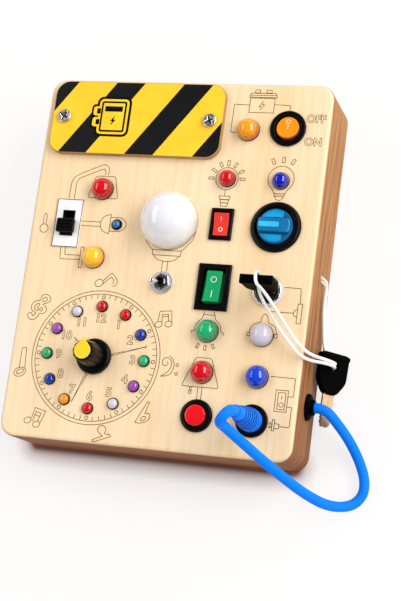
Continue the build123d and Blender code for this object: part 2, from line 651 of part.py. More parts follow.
def slide_knob():
    y = SLIDE_Y - SLIDE_SLOT[1] / 2 + SLIDE_NECK[1] / 2 + SLIDE_GAP
    top = FACE + SLIDE_PLATE_THICKNESS + SLIDE_NECK_RISE
    low = FACE - SLIDE_BODY_DROP + SLIDE_GAP
    neck = block(SLIDE_X, y, low, top, *SLIDE_NECK)
    foot = block(SLIDE_X, y, low - SLIDE_GROOVE_DEPTH, FACE, slide_groove() - 2 * SLIDE_GAP, SLIDE_NECK[1])
    head = block(SLIDE_X, y + SLIDE_HEAD_SHIFT, top, top + SLIDE_HEAD_HEIGHT, *SLIDE_HEAD)
    head = chamfer(head.faces().sort_by(Axis.Z)[-1].edges(), SLIDE_HEAD_BEVEL)
    return neck + foot + head


# ---------- blue rotary switch ----------
def rotary_housing():
    x, y = RIGHT_COLUMN, ROW_SWITCHES
    housing = turned(x, y, [
        (ROTARY_BODY_RADIUS, FACE - ROTARY_BODY_DEPTH), (ROTARY_BODY_RADIUS, FACE),
        (ROTARY_BEZEL_RADIUS, FACE), (ROTARY_BEZEL_RADIUS, FACE + ROTARY_RIM),
        (ROTARY_WELL_RADIUS + ROTARY_LIP, FACE + ROTARY_BEZEL_HEIGHT)])
    well = [(ROTARY_WELL_RADIUS, FACE), (ROTARY_WELL_RADIUS, FACE + ROTARY_BEZEL_HEIGHT + 1)]
    housing -= turned(x, y, well)
    return housing - disc(x, y, FACE - ROTARY_SHAFT_DEPTH - SLIDE_GAP, FACE + 1,
                          ROTARY_SHAFT_RADIUS + RUNNING_GAP)


def rotary_knob():
    x, y = RIGHT_COLUMN, ROW_SWITCHES
    low = FACE + SLIDE_GAP
    top = low + ROTARY_KNOB_HEIGHT
    top_radius = ROTARY_KNOB_RADIUS - ROTARY_KNOB_DRAFT
    knob = turned(x, y, [(ROTARY_KNOB_RADIUS, low), (top_radius, top)])
    knob += disc(x, y, FACE - ROTARY_SHAFT_DEPTH, low, ROTARY_SHAFT_RADIUS)
    grip = block(x, y, top, top + ROTARY_GRIP_RISE, 2 * ROTARY_KNOB_RADIUS, ROTARY_GRIP_WIDTH)
    round_ends = turned(x, y, [(top_radius, low), (top_radius - ROTARY_KNOB_DRAFT, top + ROTARY_GRIP_RISE)])
    return knob + (grip & round_ends)


def rotary_pointer():
    """The pale bar on the grip that shows where the knob points."""
    x, y = RIGHT_COLUMN, ROW_SWITCHES
    top = FACE + SLIDE_GAP + ROTARY_KNOB_HEIGHT + ROTARY_GRIP_RISE
    centre = x - ROTARY_KNOB_RADIUS + ROTARY_POINTER_INSET + ROTARY_POINTER[0] / 2
    return block(centre, y, top, top + ROTARY_POINTER_THICKNESS, *ROTARY_POINTER)


# ---------- toggle switch ----------
def toggle_mouth():
    return FACE + TOGGLE_BUSHING_RISE


def toggle_housing():
    x, y = LAMP_COLUMN, TOGGLE_Y
    width, height, depth = TOGGLE_BODY
    body = Pos(x, y, PANEL_BACK - depth) * Rotation(0, 0, TOGGLE_TURN) * Box(width, height, depth, align=UP)
    body += turned(x, y, [(TOGGLE_BUSHING_RADIUS, PANEL_BACK - 0.5),
                          (TOGGLE_BUSHING_RADIUS, toggle_mouth())], FEW)
    pocket = toggle_mouth() - TOGGLE_PIVOT_DEPTH - TOGGLE_BUSHING_BORE - SLIDE_GAP
    bore = [(TOGGLE_BUSHING_BORE, pocket), (TOGGLE_BUSHING_BORE, toggle_mouth() + 1)]
    return body - turned(x, y, bore, FEW)


def toggle_washer():
    x, y, hole = LAMP_COLUMN, TOGGLE_Y, TOGGLE_BUSHING_RADIUS + FIT
    top = FACE + TOGGLE_WASHER_THICKNESS
    washer = turned(x, y, [(TOGGLE_WASHER_RADIUS, FACE), (TOGGLE_WASHER_RADIUS, top)])
    return washer - turned(x, y, [(hole, FACE - 1), (hole, top + 1)], FEW)


def toggle_nut():
    low = FACE + TOGGLE_WASHER_THICKNESS
    nut = extrude(RegularPolygon(TOGGLE_NUT_FLATS / 2, 6, major_radius=False), TOGGLE_NUT_HEIGHT)
    nut = Pos(LAMP_COLUMN, TOGGLE_Y, low) * Rotation(0, 0, TOGGLE_NUT_TURN) * nut
    hole = [(TOGGLE_BUSHING_RADIUS, FACE), (TOGGLE_BUSHING_RADIUS, toggle_mouth() + 1)]
    return nut - turned(LAMP_COLUMN, TOGGLE_Y, hole, FEW)


def toggle_lever():
    length, root, tip = TOGGLE_LEVER_LENGTH, TOGGLE_LEVER_RADIUS, TOGGLE_TIP_RADIUS
    lever = turned(0, 0, [(root, -1.2), (root, 4.0), (tip, length - 1.4), (0.5 * tip, length)], FEW)
    pivot = Pos(LAMP_COLUMN, TOGGLE_Y, toggle_mouth() - TOGGLE_PIVOT_DEPTH)
    return pivot * Rotation(0, 0, TOGGLE_TURN) * Rotation(0, -TOGGLE_TILT, 0) * lever


# ---------- key switch ----------
def rotor_face():
    return FACE + LOCK_FLANGE_HEIGHT - LOCK_ROTOR_DROP


def lock_floor():
    return FACE - LOCK_BODY_DEPTH + LOCK_BODY_FLOOR


def lock_housing():
    x, y = RIGHT_COLUMN, ROW_LEVERS
    housing = turned(x, y, [
        (LOCK_BODY_RADIUS, FACE - LOCK_BODY_DEPTH), (LOCK_BODY_RADIUS, FACE), (LOCK_FLANGE_RADIUS, FACE),
        (LOCK_FLANGE_RADIUS, FACE + LOCK_RIM), (LOCK_FLANGE_TOP, FACE + LOCK_FLANGE_HEIGHT)])
    bore = LOCK_ROTOR_RADIUS + RUNNING_GAP
    return housing - disc(x, y, lock_floor(), FACE + LOCK_FLANGE_HEIGHT + 1, bore)


def lock_nut():
    nut = extrude(RegularPolygon(LOCK_BODY_RADIUS + LOCK_NUT_RIM, 6, major_radius=False), LOCK_NUT_THICKNESS)
    nut -= turned(0, 0, [(LOCK_BODY_RADIUS, -1), (LOCK_BODY_RADIUS, LOCK_NUT_THICKNESS + 1)])
    return Pos(RIGHT_COLUMN, ROW_LEVERS, PANEL_BACK - LOCK_NUT_THICKNESS) * nut


def lock_rotor():
    x, y = RIGHT_COLUMN, ROW_LEVERS
    rotor = disc(x, y, lock_floor() + SLIDE_GAP, rotor_face(), LOCK_ROTOR_RADIUS)
    return rotor - block(x, y, rotor_face() - KEY_BLADE_LENGTH - 2 * KEY_SLOT_GAP, rotor_face() + 1,
                         KEY_BLADE_WIDTH + 2 * KEY_SLOT_GAP, KEY_BLADE_THICKNESS + 2 * KEY_SLOT_GAP)


def key_bow_blank():
    """Moulded bow, standing along Z on its neck, plate in the XZ plane."""
    half, neck, top = KEY_BOW_WIDTH / 2, KEY_BOW_NECK / 2, KEY_BOW_HEIGHT
    outline = Polyline((-neck, 0), (neck, 0), (half, KEY_BOW_SHOULDER), (half, top), (-half, top),
                       (-half, KEY_BOW_SHOULDER), close=True)
    face = fillet(make_face(outline).vertices(), KEY_BOW_CORNER)
    plate = extrude(Plane.XZ * face, KEY_BOW_THICKNESS / 2, both=True)
    eye = Rotation(90, 0, 0) * Cylinder(KEY_EYE_RADIUS, 2 * KEY_BOW_THICKNESS)
    return plate - Pos(0, 0, top - KEY_EYE_DROP) * eye


def key_blade_blank():
    """Steel blade from its tip up to the neck of the bow, plate in the XZ plane."""
    shown, half, end = KEY_STAND_OFF, KEY_BLADE_WIDTH / 2, -KEY_BLADE_LENGTH
    shoulder, tip = end + KEY_BLADE_TIP, half - KEY_BLADE_TIP
    outline = Polyline((-half, shown), (-half, shoulder), (-tip, end), (tip, end), (half, shoulder),
                       (half, shown), close=True)
    return extrude(Plane.XZ * make_face(outline), KEY_BLADE_THICKNESS / 2, both=True)


def key_place():
    return Pos(RIGHT_COLUMN, ROW_LEVERS, rotor_face())


def key_bow():
    return key_place() * Pos(0, 0, KEY_STAND_OFF) * key_bow_blank()


def key_blade():
    return key_place() * key_blade_blank()


# ---------- push button ----------
def button_housing():
    x, y = MIDDLE_COLUMN, ROW_BOTTOM
    housing = turned(x, y, [
        (BUTTON_BODY_RADIUS, FACE - BUTTON_BODY_DEPTH), (BUTTON_BODY_RADIUS, FACE),
        (BUTTON_BEZEL_RADIUS, FACE), (BUTTON_BEZEL_RADIUS, FACE + BUTTON_RIM),
        (BUTTON_CAP_RADIUS + 1.2, FACE + BUTTON_BEZEL_HEIGHT)])
    floor = FACE - BUTTON_TRAVEL - BUTTON_CAP_DROP
    well = BUTTON_CAP_RADIUS + SLIDE_GAP
    return housing - turned(x, y, [(well, floor), (well, FACE + BUTTON_BEZEL_HEIGHT + 1)])


def button_cap():
    low = FACE - BUTTON_CAP_DROP + SLIDE_GAP
    top = FACE + BUTTON_CAP_RISE
    return turned(MIDDLE_COLUMN, ROW_BOTTOM, [
        (BUTTON_CAP_RADIUS, low), (BUTTON_CAP_RADIUS, top - BUTTON_CAP_BEVEL),
        (BUTTON_CAP_RADIUS - BUTTON_CAP_BEVEL, top)])


# ---------- plug and socket ----------
def socket_top():
    return FACE + BEZEL_HEIGHT


def socket_housing():
    x, y = RIGHT_COLUMN, ROW_BOTTOM
    housing = turned(x, y, [
        (SOCKET_BODY_RADIUS, FACE - SOCKET_BODY_DEPTH), (SOCKET_BODY_RADIUS, FACE),
        (SOCKET_BEZEL_RADIUS, FACE), (SOCKET_BEZEL_RADIUS, socket_top() - BEZEL_BEVEL),
        (SOCKET_BEZEL_RADIUS - BEZEL_BEVEL, socket_top())])
    bore = PLUG_PIN_RADIUS + RUNNING_GAP
    return housing - disc(x, y, socket_top() - PLUG_PIN_LENGTH - 1, socket_top() + 1, bore)


def plug_base():
    return socket_top() + PLUG_LIFT


def plug_top():
    return plug_base() + PLUG_ROOT_HEIGHT + PLUG_RIB_COUNT * PLUG_RIB_PITCH + PLUG_SLEEVE_HEIGHT


def plug_pin():
    return disc(RIGHT_COLUMN, ROW_BOTTOM, socket_top() - PLUG_PIN_LENGTH, plug_base(), PLUG_PIN_RADIUS)


def plug_handle():
    """Moulded plug body: a root, ribs that taper towards the cord, and a sleeve."""
    z = plug_base()
    outline = [(PLUG_ROOT_RADIUS, z), (PLUG_ROOT_RADIUS, z + PLUG_ROOT_HEIGHT)]
    z += PLUG_ROOT_HEIGHT
    taper = (PLUG_ROOT_RADIUS - PLUG_LAST_RIB) / PLUG_RIB_COUNT
    for i in range(PLUG_RIB_COUNT):
        radius = PLUG_ROOT_RADIUS - taper * (i + 1)
        outline += [(radius - PLUG_RIB_GROOVE, z + 0.35 * PLUG_RIB_PITCH), (radius, z + PLUG_RIB_PITCH)]
        z += PLUG_RIB_PITCH
    outline += [(PLUG_SLEEVE_RADIUS, z + 0.08 * PLUG_SLEEVE_HEIGHT),
                (PLUG_SLEEVE_RADIUS - PLUG_SLEEVE_DRAFT, z + PLUG_SLEEVE_HEIGHT)]
    return turned(RIGHT_COLUMN, ROW_BOTTOM, outline)


# ---------- cable outlet ----------
def cord_exit():
    return BOARD_WIDTH / 2 + GLAND_FLANGE_THICKNESS + GLAND_NOSE_LENGTH


def cable_gland():
    outer = BOARD_WIDTH / 2
    flange_draft, nose_draft = GLAND_DRAFT
    flange_top = outer + GLAND_FLANGE_THICKNESS
    outline = [(GLAND_BODY_RADIUS, outer - WALL - GLAND_TAIL), (GLAND_BODY_RADIUS, outer),
               (GLAND_FLANGE_RADIUS, outer), (GLAND_FLANGE_RADIUS - flange_draft, flange_top),
               (GLAND_NOSE_RADIUS, flange_top), (GLAND_NOSE_RADIUS - nose_draft, cord_exit())]
    return Pos(0, GLAND_Y, SIDE_HOLE_Z) * Rotation(0, 90, 0) * turned(0, 0, outline)


# ---------- cord and string ----------
def tube(name, points, radius, sides):
    """A plain tube along straight runs joined by tangent arcs, many-sided in section."""
    radii = []
    for a, b, c in zip(points, points[1:], points[2:]):
        before, after = Vector(*b) - Vector(*a), Vector(*c) - Vector(*b)
        turn = math.radians(before.get_angle(after))
        radii.append(0.45 * min(before.length, after.length) / math.tan(turn / 2))
    path = FilletPolyline(*points, radius=radii)
    section = Plane(origin=path @ 0, z_dir=path % 0) * RegularPolygon(radius, sides)
    solid = sweep(section, path=path)
    print(name, "length", round(path.wire().length, 1), "volume over section x length",
          round(solid.volume / (section.area * path.wire().length), 4),
          "radii", [round(r, 1) for r in radii])
    return solid


# The cord's points: distance out from the side of the case, place along the board from the
# bottom row of controls, and height over the floor.
CORD_BENDS = [
    (11.5, 15.0, SIDE_HOLE_Z),
    (18.5, 8.0, 16.5),
    (26.5, -2.0, 8.5),
    (33.5, -14.0, 4.2),
    (38.0, -25.5, 3.8),
    (37.5, -35.0, 3.8),
    (31.0, -42.3, 6.5),
    (19.5, -44.3, 17.5),
    (8.0, -39.8, 32.5),
    (-3.5, -32.3, 48.0),
    (-15.0, -23.8, 62.5),
    (-24.5, -16.3, 75.0),
    (-34.0, -8.6, 87.5),
    (-34.0, -8.4, 94.2),
    (-32.1, -5.9, 97.3),
    (-29.5, -2.5, 97.3),
]
CORD_RISE = 7.3              # straight run out of the plug's sleeve


def cord_route():
    start = (cord_exit(), GLAND_Y, SIDE_HOLE_Z)
    bends = [(BOARD_WIDTH / 2 + out, ROW_BOTTOM + along, z) for out, along, z in CORD_BENDS]
    risen = (RIGHT_COLUMN, ROW_BOTTOM, plug_top() + CORD_RISE)
    return [start] + bends + [risen, (RIGHT_COLUMN, ROW_BOTTOM, plug_top())]


def blue_cord():
    return tube("blue_cord", cord_route(), CORD_RADIUS, 6)


# The loose key leans on the right side of the case, with its lower edge on the floor.
LOOSE_KEY_LEAN = 42.0
LOOSE_KEY_TURN = -3.0
LOOSE_KEY_EYE_Y = ROW_LEVERS - 37.8
LOOSE_KEY_GAP = 0.5          # along the floor, between the bow and the case


def loose_key_eye():
    """Centre of the loose key's eye."""
    half, thick = KEY_BOW_WIDTH / 2, KEY_BOW_THICKNESS / 2
    lean = math.radians(LOOSE_KEY_LEAN)
    turned_out = (KEY_BOW_HEIGHT - KEY_EYE_DROP) * math.sin(math.radians(-LOOSE_KEY_TURN))
    x = BOARD_WIDTH / 2 + (half + turned_out) * math.cos(lean) + thick * math.sin(lean) + LOOSE_KEY_GAP
    z = thick * math.cos(lean) + half * math.sin(lean) + turned_out * math.sin(lean)
    return x, LOOSE_KEY_EYE_Y, z


def loose_key_place():
    """The bow's foot of the loose key, which points down the board with its face up."""
    lying = Rotation(0, LOOSE_KEY_LEAN, 0) * Rotation(0, 0, LOOSE_KEY_TURN) * Rotation(-90, 0, 0)
    return Pos(*loose_key_eye()) * lying * Pos(0, 0, KEY_EYE_DROP - KEY_BOW_HEIGHT)


def loose_key_bow():
    return loose_key_place() * key_bow_blank()


def loose_key_blade():
    return loose_key_place() * Pos(0, 0, -KEY_STAND_OFF) * key_blade_blank()


def eye_points(side):
    """Where a strand enters and leaves the loose key's eye, from behind to in front."""
    x, y, z = loose_key_eye()
    lean = math.radians(LOOSE_KEY_LEAN)
    reach = KEY_BOW_THICKNESS / 2 + 3 * STRING_RADIUS
    run = (reach * math.sin(lean), reach * math.cos(lean))
    y += side * STRING_RADIUS
    return [(x - run[0], y, z - run[1]), (x + run[0], y, z + run[1])]


# The string's points, given as the cord's are, but with places along the board from the lock's row.
STRING_OUT = [(4.2, 15.55, 22.0), (2.2, 0.55, 17.0), (2.6, -16.8, 10.0), (3.2, -28.8, 5.6)]
STRING_UP = [
    (10.2, -39.2, 29.0),
    (4.0, -41.2, 44.5),
    (-1.2, -39.8, 51.2),
    (-7.5, -33.6, 54.0),
    (-14.4, -25.4, 58.6),
    (-22.4, -14.2, 65.4),
]
STRING_DOWN = [
    (-23.6, -5.2, 76.0),
    (-17.6, -12.6, 69.6),
    (-10.8, -22.6, 61.6),
    (-3.6, -32.2, 54.4),
    (3.6, -38.0, 47.6),
    (11.0, -37.4, 30.0),
]
STRING_BACK = [(3.4, -25.8, 8.6), (2.6, -14.8, 14.0), (2.2, 3.65, 19.0), (4.2, 17.65, 22.0)]
STRING_PASS = 5.0            # straight run through the lock key's eye, each way from the bow's middle
STRING_LOOP = [(0.0, 5.2, 1.5), (1.1, -3.3, 2.9)]     # over the bow, from its middle and its top


def string_route():
    """One string, knotted inside the case, doubled through both keys."""
    side = BOARD_WIDTH / 2
    bow_top = rotor_face() + KEY_STAND_OFF + KEY_BOW_HEIGHT
    runs = [[(side + out, ROW_LEVERS + along, z) for out, along, z in run]
            for run in (STRING_OUT, STRING_UP, STRING_DOWN, STRING_BACK)]
    leave, up, down, back = runs
    through = [(RIGHT_COLUMN, ROW_LEVERS + way * STRING_PASS, bow_top - KEY_EYE_DROP) for way in (-1, 1)]
    over = [(RIGHT_COLUMN + out, ROW_LEVERS + along, bow_top + rise) for out, along, rise in STRING_LOOP]
    first = (side - WALL, leave[0][1], SIDE_HOLE_Z)
    last = (side - WALL, back[-1][1], SIDE_HOLE_Z)
    return ([first] + leave + eye_points(-1) + up + through + over + down + eye_points(1)[::-1]
            + back + [last])


def key_string():
    return tube("key_string", string_route(), STRING_RADIUS, 4)


NODES = {
    "case_frame": case_frame,
    "front_panel": front_panel,
    "back_panel": back_panel,
    "battery_cover": battery_cover,
    "cover_screws": cover_screws,
    "battery_tray": battery_tray,
    "battery_cells": battery_cells,
    "battery_contacts": battery_contacts,
    "indicator_lenses": indicator_lenses,
    "indicator_leds": indicator_leds,
    "lamp_dome": lamp_dome,
    "lamp_board": lamp_board,
    "blue_led_holder": blue_led_holder,
    "blue_led": blue_led,
    "clock_leds": clock_leds,
    "clock_board": clock_board,
    "selector_housing": selector_housing,
    "clock_shaft": clock_shaft,
    "clock_knob": clock_knob,
    "clock_pointer": clock_pointer,
    "amber_switch_housing": amber_housing,
    "amber_rocker": amber_rocker,
    "red_switch_housing": lambda: rocker_housing(MIDDLE_COLUMN, ROW_SWITCHES, RED_BEZEL, RED_BODY, RED_WELL,
                                                 RED_ROCKER[1]),
    "red_rocker": lambda: rocker(MIDDLE_COLUMN, ROW_SWITCHES, RED_ROCKER[0], RED_ROCKER[0], RED_ROCKER[1],
                                 ROCKER_TILT),
    "green_switch_housing": lambda: rocker_housing(MIDDLE_COLUMN, ROW_LEVERS, GREEN_BEZEL, GREEN_BODY,
                                                   GREEN_WELL, GREEN_ROCKER[1]),
    "green_rocker": lambda: rocker(MIDDLE_COLUMN, ROW_LEVERS, GREEN_ROCKER[0], GREEN_ROCKER_TOP,
                                   GREEN_ROCKER[1], -ROCKER_TILT),
    "slide_plate": slide_plate,
    "slide_housing": slide_housing,
    "slide_knob": slide_knob,
    "rotary_housing": rotary_housing,
    "rotary_knob": rotary_knob,
    "rotary_pointer": rotary_pointer,
    "toggle_housing": toggle_housing,
    "toggle_washer": toggle_washer,
    "toggle_nut": toggle_nut,
    "toggle_lever": toggle_lever,
    "lock_housing": lock_housing,
    "lock_nut": lock_nut,
    "lock_rotor": lock_rotor,
    "key_bow": key_bow,
    "key_blade": key_blade,
    "button_housing": button_housing,
    "button_cap": button_cap,
    "socket_housing": socket_housing,
    "plug_pin": plug_pin,
    "plug_handle": plug_handle,
    "cable_gland": cable_gland,
    "blue_cord": blue_cord,
    "key_string": key_string,
    "loose_key_bow": loose_key_bow,
    "loose_key_blade": loose_key_blade,
}

for name, make in NODES.items():
    made = make()
    shape = Compound(children=[Solid(s.wrapped) for m in made for s in m.solids()]) \
        if isinstance(made, list) else made
    export_step(shape, f"parts/{name}.step")
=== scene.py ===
import math

import bpy
from mathutils import Matrix, Vector


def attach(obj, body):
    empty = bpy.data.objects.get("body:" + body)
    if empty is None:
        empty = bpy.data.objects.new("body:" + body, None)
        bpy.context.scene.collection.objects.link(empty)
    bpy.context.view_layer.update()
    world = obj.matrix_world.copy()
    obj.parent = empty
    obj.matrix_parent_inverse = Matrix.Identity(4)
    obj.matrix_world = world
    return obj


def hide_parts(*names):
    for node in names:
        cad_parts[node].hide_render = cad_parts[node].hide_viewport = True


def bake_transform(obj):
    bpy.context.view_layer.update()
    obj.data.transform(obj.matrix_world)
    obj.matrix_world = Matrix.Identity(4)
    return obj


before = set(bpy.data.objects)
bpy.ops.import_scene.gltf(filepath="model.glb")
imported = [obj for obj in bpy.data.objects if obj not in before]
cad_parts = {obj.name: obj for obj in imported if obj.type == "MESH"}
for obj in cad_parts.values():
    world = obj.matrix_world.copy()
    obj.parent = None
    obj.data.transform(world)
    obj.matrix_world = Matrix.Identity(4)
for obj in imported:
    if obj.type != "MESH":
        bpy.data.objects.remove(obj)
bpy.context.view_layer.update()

# Sizes in the script are millimetres, as in the CAD. MM turns them into metres.
MM = 0.001
FACE = 46.5                     # height of the front face

# ---------- places of the controls ----------
RIGHT = 69.4
MIDDLE = 33.8
LAMP = (-0.5, 26)
TOGGLE = (-0.5, -14.3)
AMBER = (RIGHT, 91.0)
ROTARY = (RIGHT, 26.0)
KEY = (RIGHT, -15.2)
SOCKET = (RIGHT, -97.0)
RED_SWITCH = (MIDDLE, 26.0)
GREEN_SWITCH = (MIDDLE, -15.2)
BUTTON = (MIDDLE, -97.0)
BLUE_LIGHT = (-36.7, 22)
SLIDE_X, SLIDE_Y = -70.8, 21.3
CLOCK_X, CLOCK_Y = -38.3, -65.7
GLAND = (97, -82, 22)

# ---------- camera ----------
CAMERA_PLACE = (302.27, -204.03, 904.86)
CAMERA_RIGHT = (0.9516, 0.1302, -0.2784)
CAMERA_UP = (-0.0671, 0.9720, 0.2253)
CAMERA_LENS = 87.52

# ---------- cord and string ----------
CORD_RADIUS = 3.25
CORD_ROUTE = [
    (102, -82, 22), (108.5, -82, 22), (115.5, -89, 16.5), (123.5, -99, 8.5),
    (130.5, -111, 4.2), (135, -122.5, 3.8), (134.5, -132, 3.8), (128, -139.3, 6.5),
    (116.5, -141.3, 17.5), (105, -136.8, 32.5), (93.5, -129.3, 48), (82, -120.8, 62.5),
    (72.5, -113.3, 75), (63, -105.6, 87.5), (63, -105.4, 94.2), (64.9, -102.9, 97.3),
    (67.5, -99.5, 97.3), (69.4, -97, 94.2), (69.4, -97, 86.9),
]
STRING_RADIUS = 1.0
STRING_ROUTE = [
    (85, 0.35, 22), (101.2, 0.35, 22), (99.2, -14.65, 17), (99.6, -32, 10),
    (100.2, -44, 5.6), (103.87, -54, 5.31), (111.23, -54, 13.49), (107.2, -54.4, 29),
    (101, -56.4, 44.5), (95.8, -55, 51.2), (89.5, -48.8, 54), (82.6, -40.6, 58.6),
    (74.6, -29.4, 65.4), (69.4, -20.2, 70.6), (69.4, -10.2, 70.6), (69.4, -10, 80.6),
    (70.5, -18.5, 82), (73.4, -20.4, 76), (79.4, -27.8, 69.6), (86.2, -37.8, 61.6),
    (93.4, -47.4, 54.4), (100.6, -53.2, 47.6), (108, -52.6, 30), (111.23, -52, 13.49),
    (103.87, -52, 5.31), (100.4, -41, 8.6), (99.6, -30, 14), (99.2, -11.55, 19),
    (101.2, 2.45, 22), (85, 2.45, 22),
]


# ---------- nodes ----------
UNTINTED = (1, 1, 1)


def new_material(name):
    material = bpy.data.materials.new(name)
    material.use_nodes = True
    tree = material.node_tree
    return material, tree, tree.nodes["Principled BSDF"]


def set_values(node, **values):
    """Constants on the node's own sockets, which are named with _ for a space."""
    for name, value in values.items():
        node.inputs[name.replace("_", " ")].default_value = value


def feed(tree, socket, value):
    """A number or colour is set on the socket, and an output is linked to it."""
    if isinstance(value, tuple):
        value = (*value, 1.0)
    if isinstance(value, (int, float, tuple)):
        socket.default_value = value
    else:
        tree.links.new(value, socket)


def coordinates(tree, kind="Object"):
    return tree.nodes.new("ShaderNodeTexCoord").outputs[kind]


def place_nodes(tree, scale=(1, 1, 1)):
    """Object coordinates in metres, stretched by scale."""
    mapping = tree.nodes.new("ShaderNodeMapping")
    set_values(mapping, Scale=scale)
    tree.links.new(coordinates(tree), mapping.inputs["Vector"])
    return mapping.outputs["Vector"]


def separate(tree, vector):
    """The outputs X, Y and Z of a vector."""
    node = tree.nodes.new("ShaderNodeSeparateXYZ")
    tree.links.new(vector, node.inputs[0])
    return node.outputs


def noise(tree, vector, scale, detail=2.0, roughness=0.5):
    node = tree.nodes.new("ShaderNodeTexNoise")
    set_values(node, Scale=scale, Detail=detail, Roughness=roughness)
    tree.links.new(vector, node.inputs["Vector"])
    return node.outputs["Fac"]


def ramp(tree, factor, stops):
    """A colour ramp from (place, colour) stops."""
    node = tree.nodes.new("ShaderNodeValToRGB")
    elements = node.color_ramp.elements
    while len(elements) < len(stops):
        elements.new(0.5)
    for element, (where, colour) in zip(elements, stops):
        element.position = where
        element.color = (*colour, 1.0)
    tree.links.new(factor, node.inputs["Fac"])
    return node.outputs["Color"]


def calc(tree, operation, *values):
    node = tree.nodes.new("ShaderNodeMath")
    node.operation = operation
    for socket, value in zip(node.inputs, values):
        feed(tree, socket, value)
    return node.outputs[0]


def mix(tree, factor, first, second, blend="MIX"):
    node = tree.nodes.new("ShaderNodeMix")
    node.data_type = "RGBA"
    node.blend_type = blend
    for index, value in ((0, factor), (6, first), (7, second)):
        feed(tree, node.inputs[index], value)
    return node.outputs[2]


def bump(tree, shader, height, strength, distance):
    node = tree.nodes.new("ShaderNodeBump")
    set_values(node, Strength=strength, Distance=distance * MM)
    tree.links.new(height, node.inputs["Height"])
    tree.links.new(node.outputs["Normal"], shader.inputs["Normal"])


def paint(tree, shader, colour, grain, spread, middle):
    """The shader's colour, and a roughness that the grain spreads about its middle."""
    tree.links.new(colour, shader.inputs["Base Color"])
    roughness = calc(tree, "MULTIPLY_ADD", grain, spread, middle - spread / 2)
    tree.links.new(roughness, shader.inputs["Roughness"])


# ---------- kinds of material ----------
def plastic(name, colour, roughness=0.3, grain=0.03, coat=0.0, variation=0.08, shine=0.5):
    """Moulded plastic: fine texture, slight colour drift, uneven gloss."""
    material, tree, shader = new_material(name)
    vector = place_nodes(tree)
    low = tuple(c * (1 - variation) for c in colour)
    high = tuple(min(1.0, c * (1 + variation)) for c in colour)
    drift = ramp(tree, noise(tree, vector, 60), [(0.35, low), (0.65, high)])
    fine = noise(tree, vector, 900)
    paint(tree, shader, drift, fine, 0.16, roughness)
    set_values(shader, Coat_Weight=coat, Coat_Roughness=0.04, Specular_IOR_Level=shine)
    bump(tree, shader, fine, 0.25, grain)
    return material


def glossy(name, top, low, coat=1.0):
    """Tinted clear plastic and a polished coat; deeper colour painted towards the foot of a dome as shade."""
    material, tree, shader = new_material(name)
    drift = noise(tree, place_nodes(tree), 220)
    normal = separate(tree, coordinates(tree, "Normal"))
    upward = calc(tree, "MULTIPLY_ADD", drift, 0.1, normal["Z"])
    paint(tree, shader, ramp(tree, upward, [(0.15, low), (0.85, top)]), drift, 0.06, 0.17)
    set_values(shader, Specular_IOR_Level=0.1, Coat_Weight=coat, Coat_Roughness=0.03, Coat_IOR=1.65)
    return material


def milky(material):
    """Light spreads a little under the surface."""
    shader = material.node_tree.nodes["Principled BSDF"]
    set_values(shader, Subsurface_Weight=1.0, Subsurface_Radius=(1, 1, 1), Subsurface_Scale=0.03)
    return material


def metal(name, colour, roughness):
    material, tree, shader = new_material(name)
    brushed = noise(tree, place_nodes(tree), 700, 3)
    low = tuple(c * 0.94 for c in colour)
    paint(tree, shader, ramp(tree, brushed, [(0.3, low), (0.7, colour)]), brushed, 0.12, roughness)
    set_values(shader, Metallic=1.0)
    bump(tree, shader, brushed, 0.1, 0.006)
    return material


PINE_PALE = (0.90, 0.71, 0.47)
PINE_WARM = (0.87, 0.635, 0.37)
PINE_LINE = (0.94, 0.86, 0.74)
# The sides' darker tone is partly their edge grain and partly painted shade.
SIDE_PALE = (0.45, 0.215, 0.062)
SIDE_DARK = (0.26, 0.10, 0.025)
SIDE_FOOT_SHADE = (0.70, 0.58, 0.52)    # painted shade: how much darker the sides are at their lower end
UNDERSIDE_SHADE = (1, 0.84, 0.66)      # painted shade: how much darker the board's lower side is


def wood(name):
    """Pale pine on the faces that look up; darker lined edge grain on the sides, partly painted shade."""
    material, tree, shader = new_material(name)
    along = place_nodes(tree, (1, 0.05, 1))
    fine = noise(tree, along, 300, 4, 0.6)
    front = ramp(tree, noise(tree, along, 22, 3, 0.45), [(0.36, PINE_WARM), (0.62, PINE_PALE)])
    front = mix(tree, 0.5, front, ramp(tree, fine, [(0.40, PINE_LINE), (0.56, UNTINTED)]), "MULTIPLY")
    lines = noise(tree, place_nodes(tree, (0.06, 0.06, 1)), 150, 3, 0.55)
    side = ramp(tree, lines, [(0.38, SIDE_DARK), (0.50, SIDE_PALE), (0.66, SIDE_DARK)])
    normal = separate(tree, tree.nodes.new("ShaderNodeNewGeometry").outputs["Normal"])
    # Painted shade on the faces that look down.
    downward = calc(tree, "MULTIPLY_ADD", normal["Y"], -0.5, 0.5)
    side = mix(tree, 1.0, side, ramp(tree, downward, [(0.6, UNTINTED), (0.95, UNDERSIDE_SHADE)]), "MULTIPLY")
    # Painted shade towards the sides' lower end.
    lower = calc(tree, "MULTIPLY_ADD", separate(tree, place_nodes(tree))["Y"], -4.0, 0.5)
    side = mix(tree, 1.0, side, ramp(tree, lower, [(0.35, UNTINTED), (0.95, SIDE_FOOT_SHADE)]), "MULTIPLY")
    facing = ramp(tree, normal["Z"], [(0.35, (0, 0, 0)), (0.8, UNTINTED)])
    paint(tree, shader, mix(tree, facing, side, front), fine, 0.2, 0.6)
    set_values(shader, Specular_IOR_Level=0.25)
    bump(tree, shader, fine, 0.15, 0.04)
    return material


STRIPE_ANGLE = 54.4              # of the bars, from +X
STRIPE_PITCH = 46.7              # from bar to bar, along X
STRIPE_WIDTH = 19.8
STRIPE_FOOT = (-66.8, 93.4)      # a point on a bar's left edge


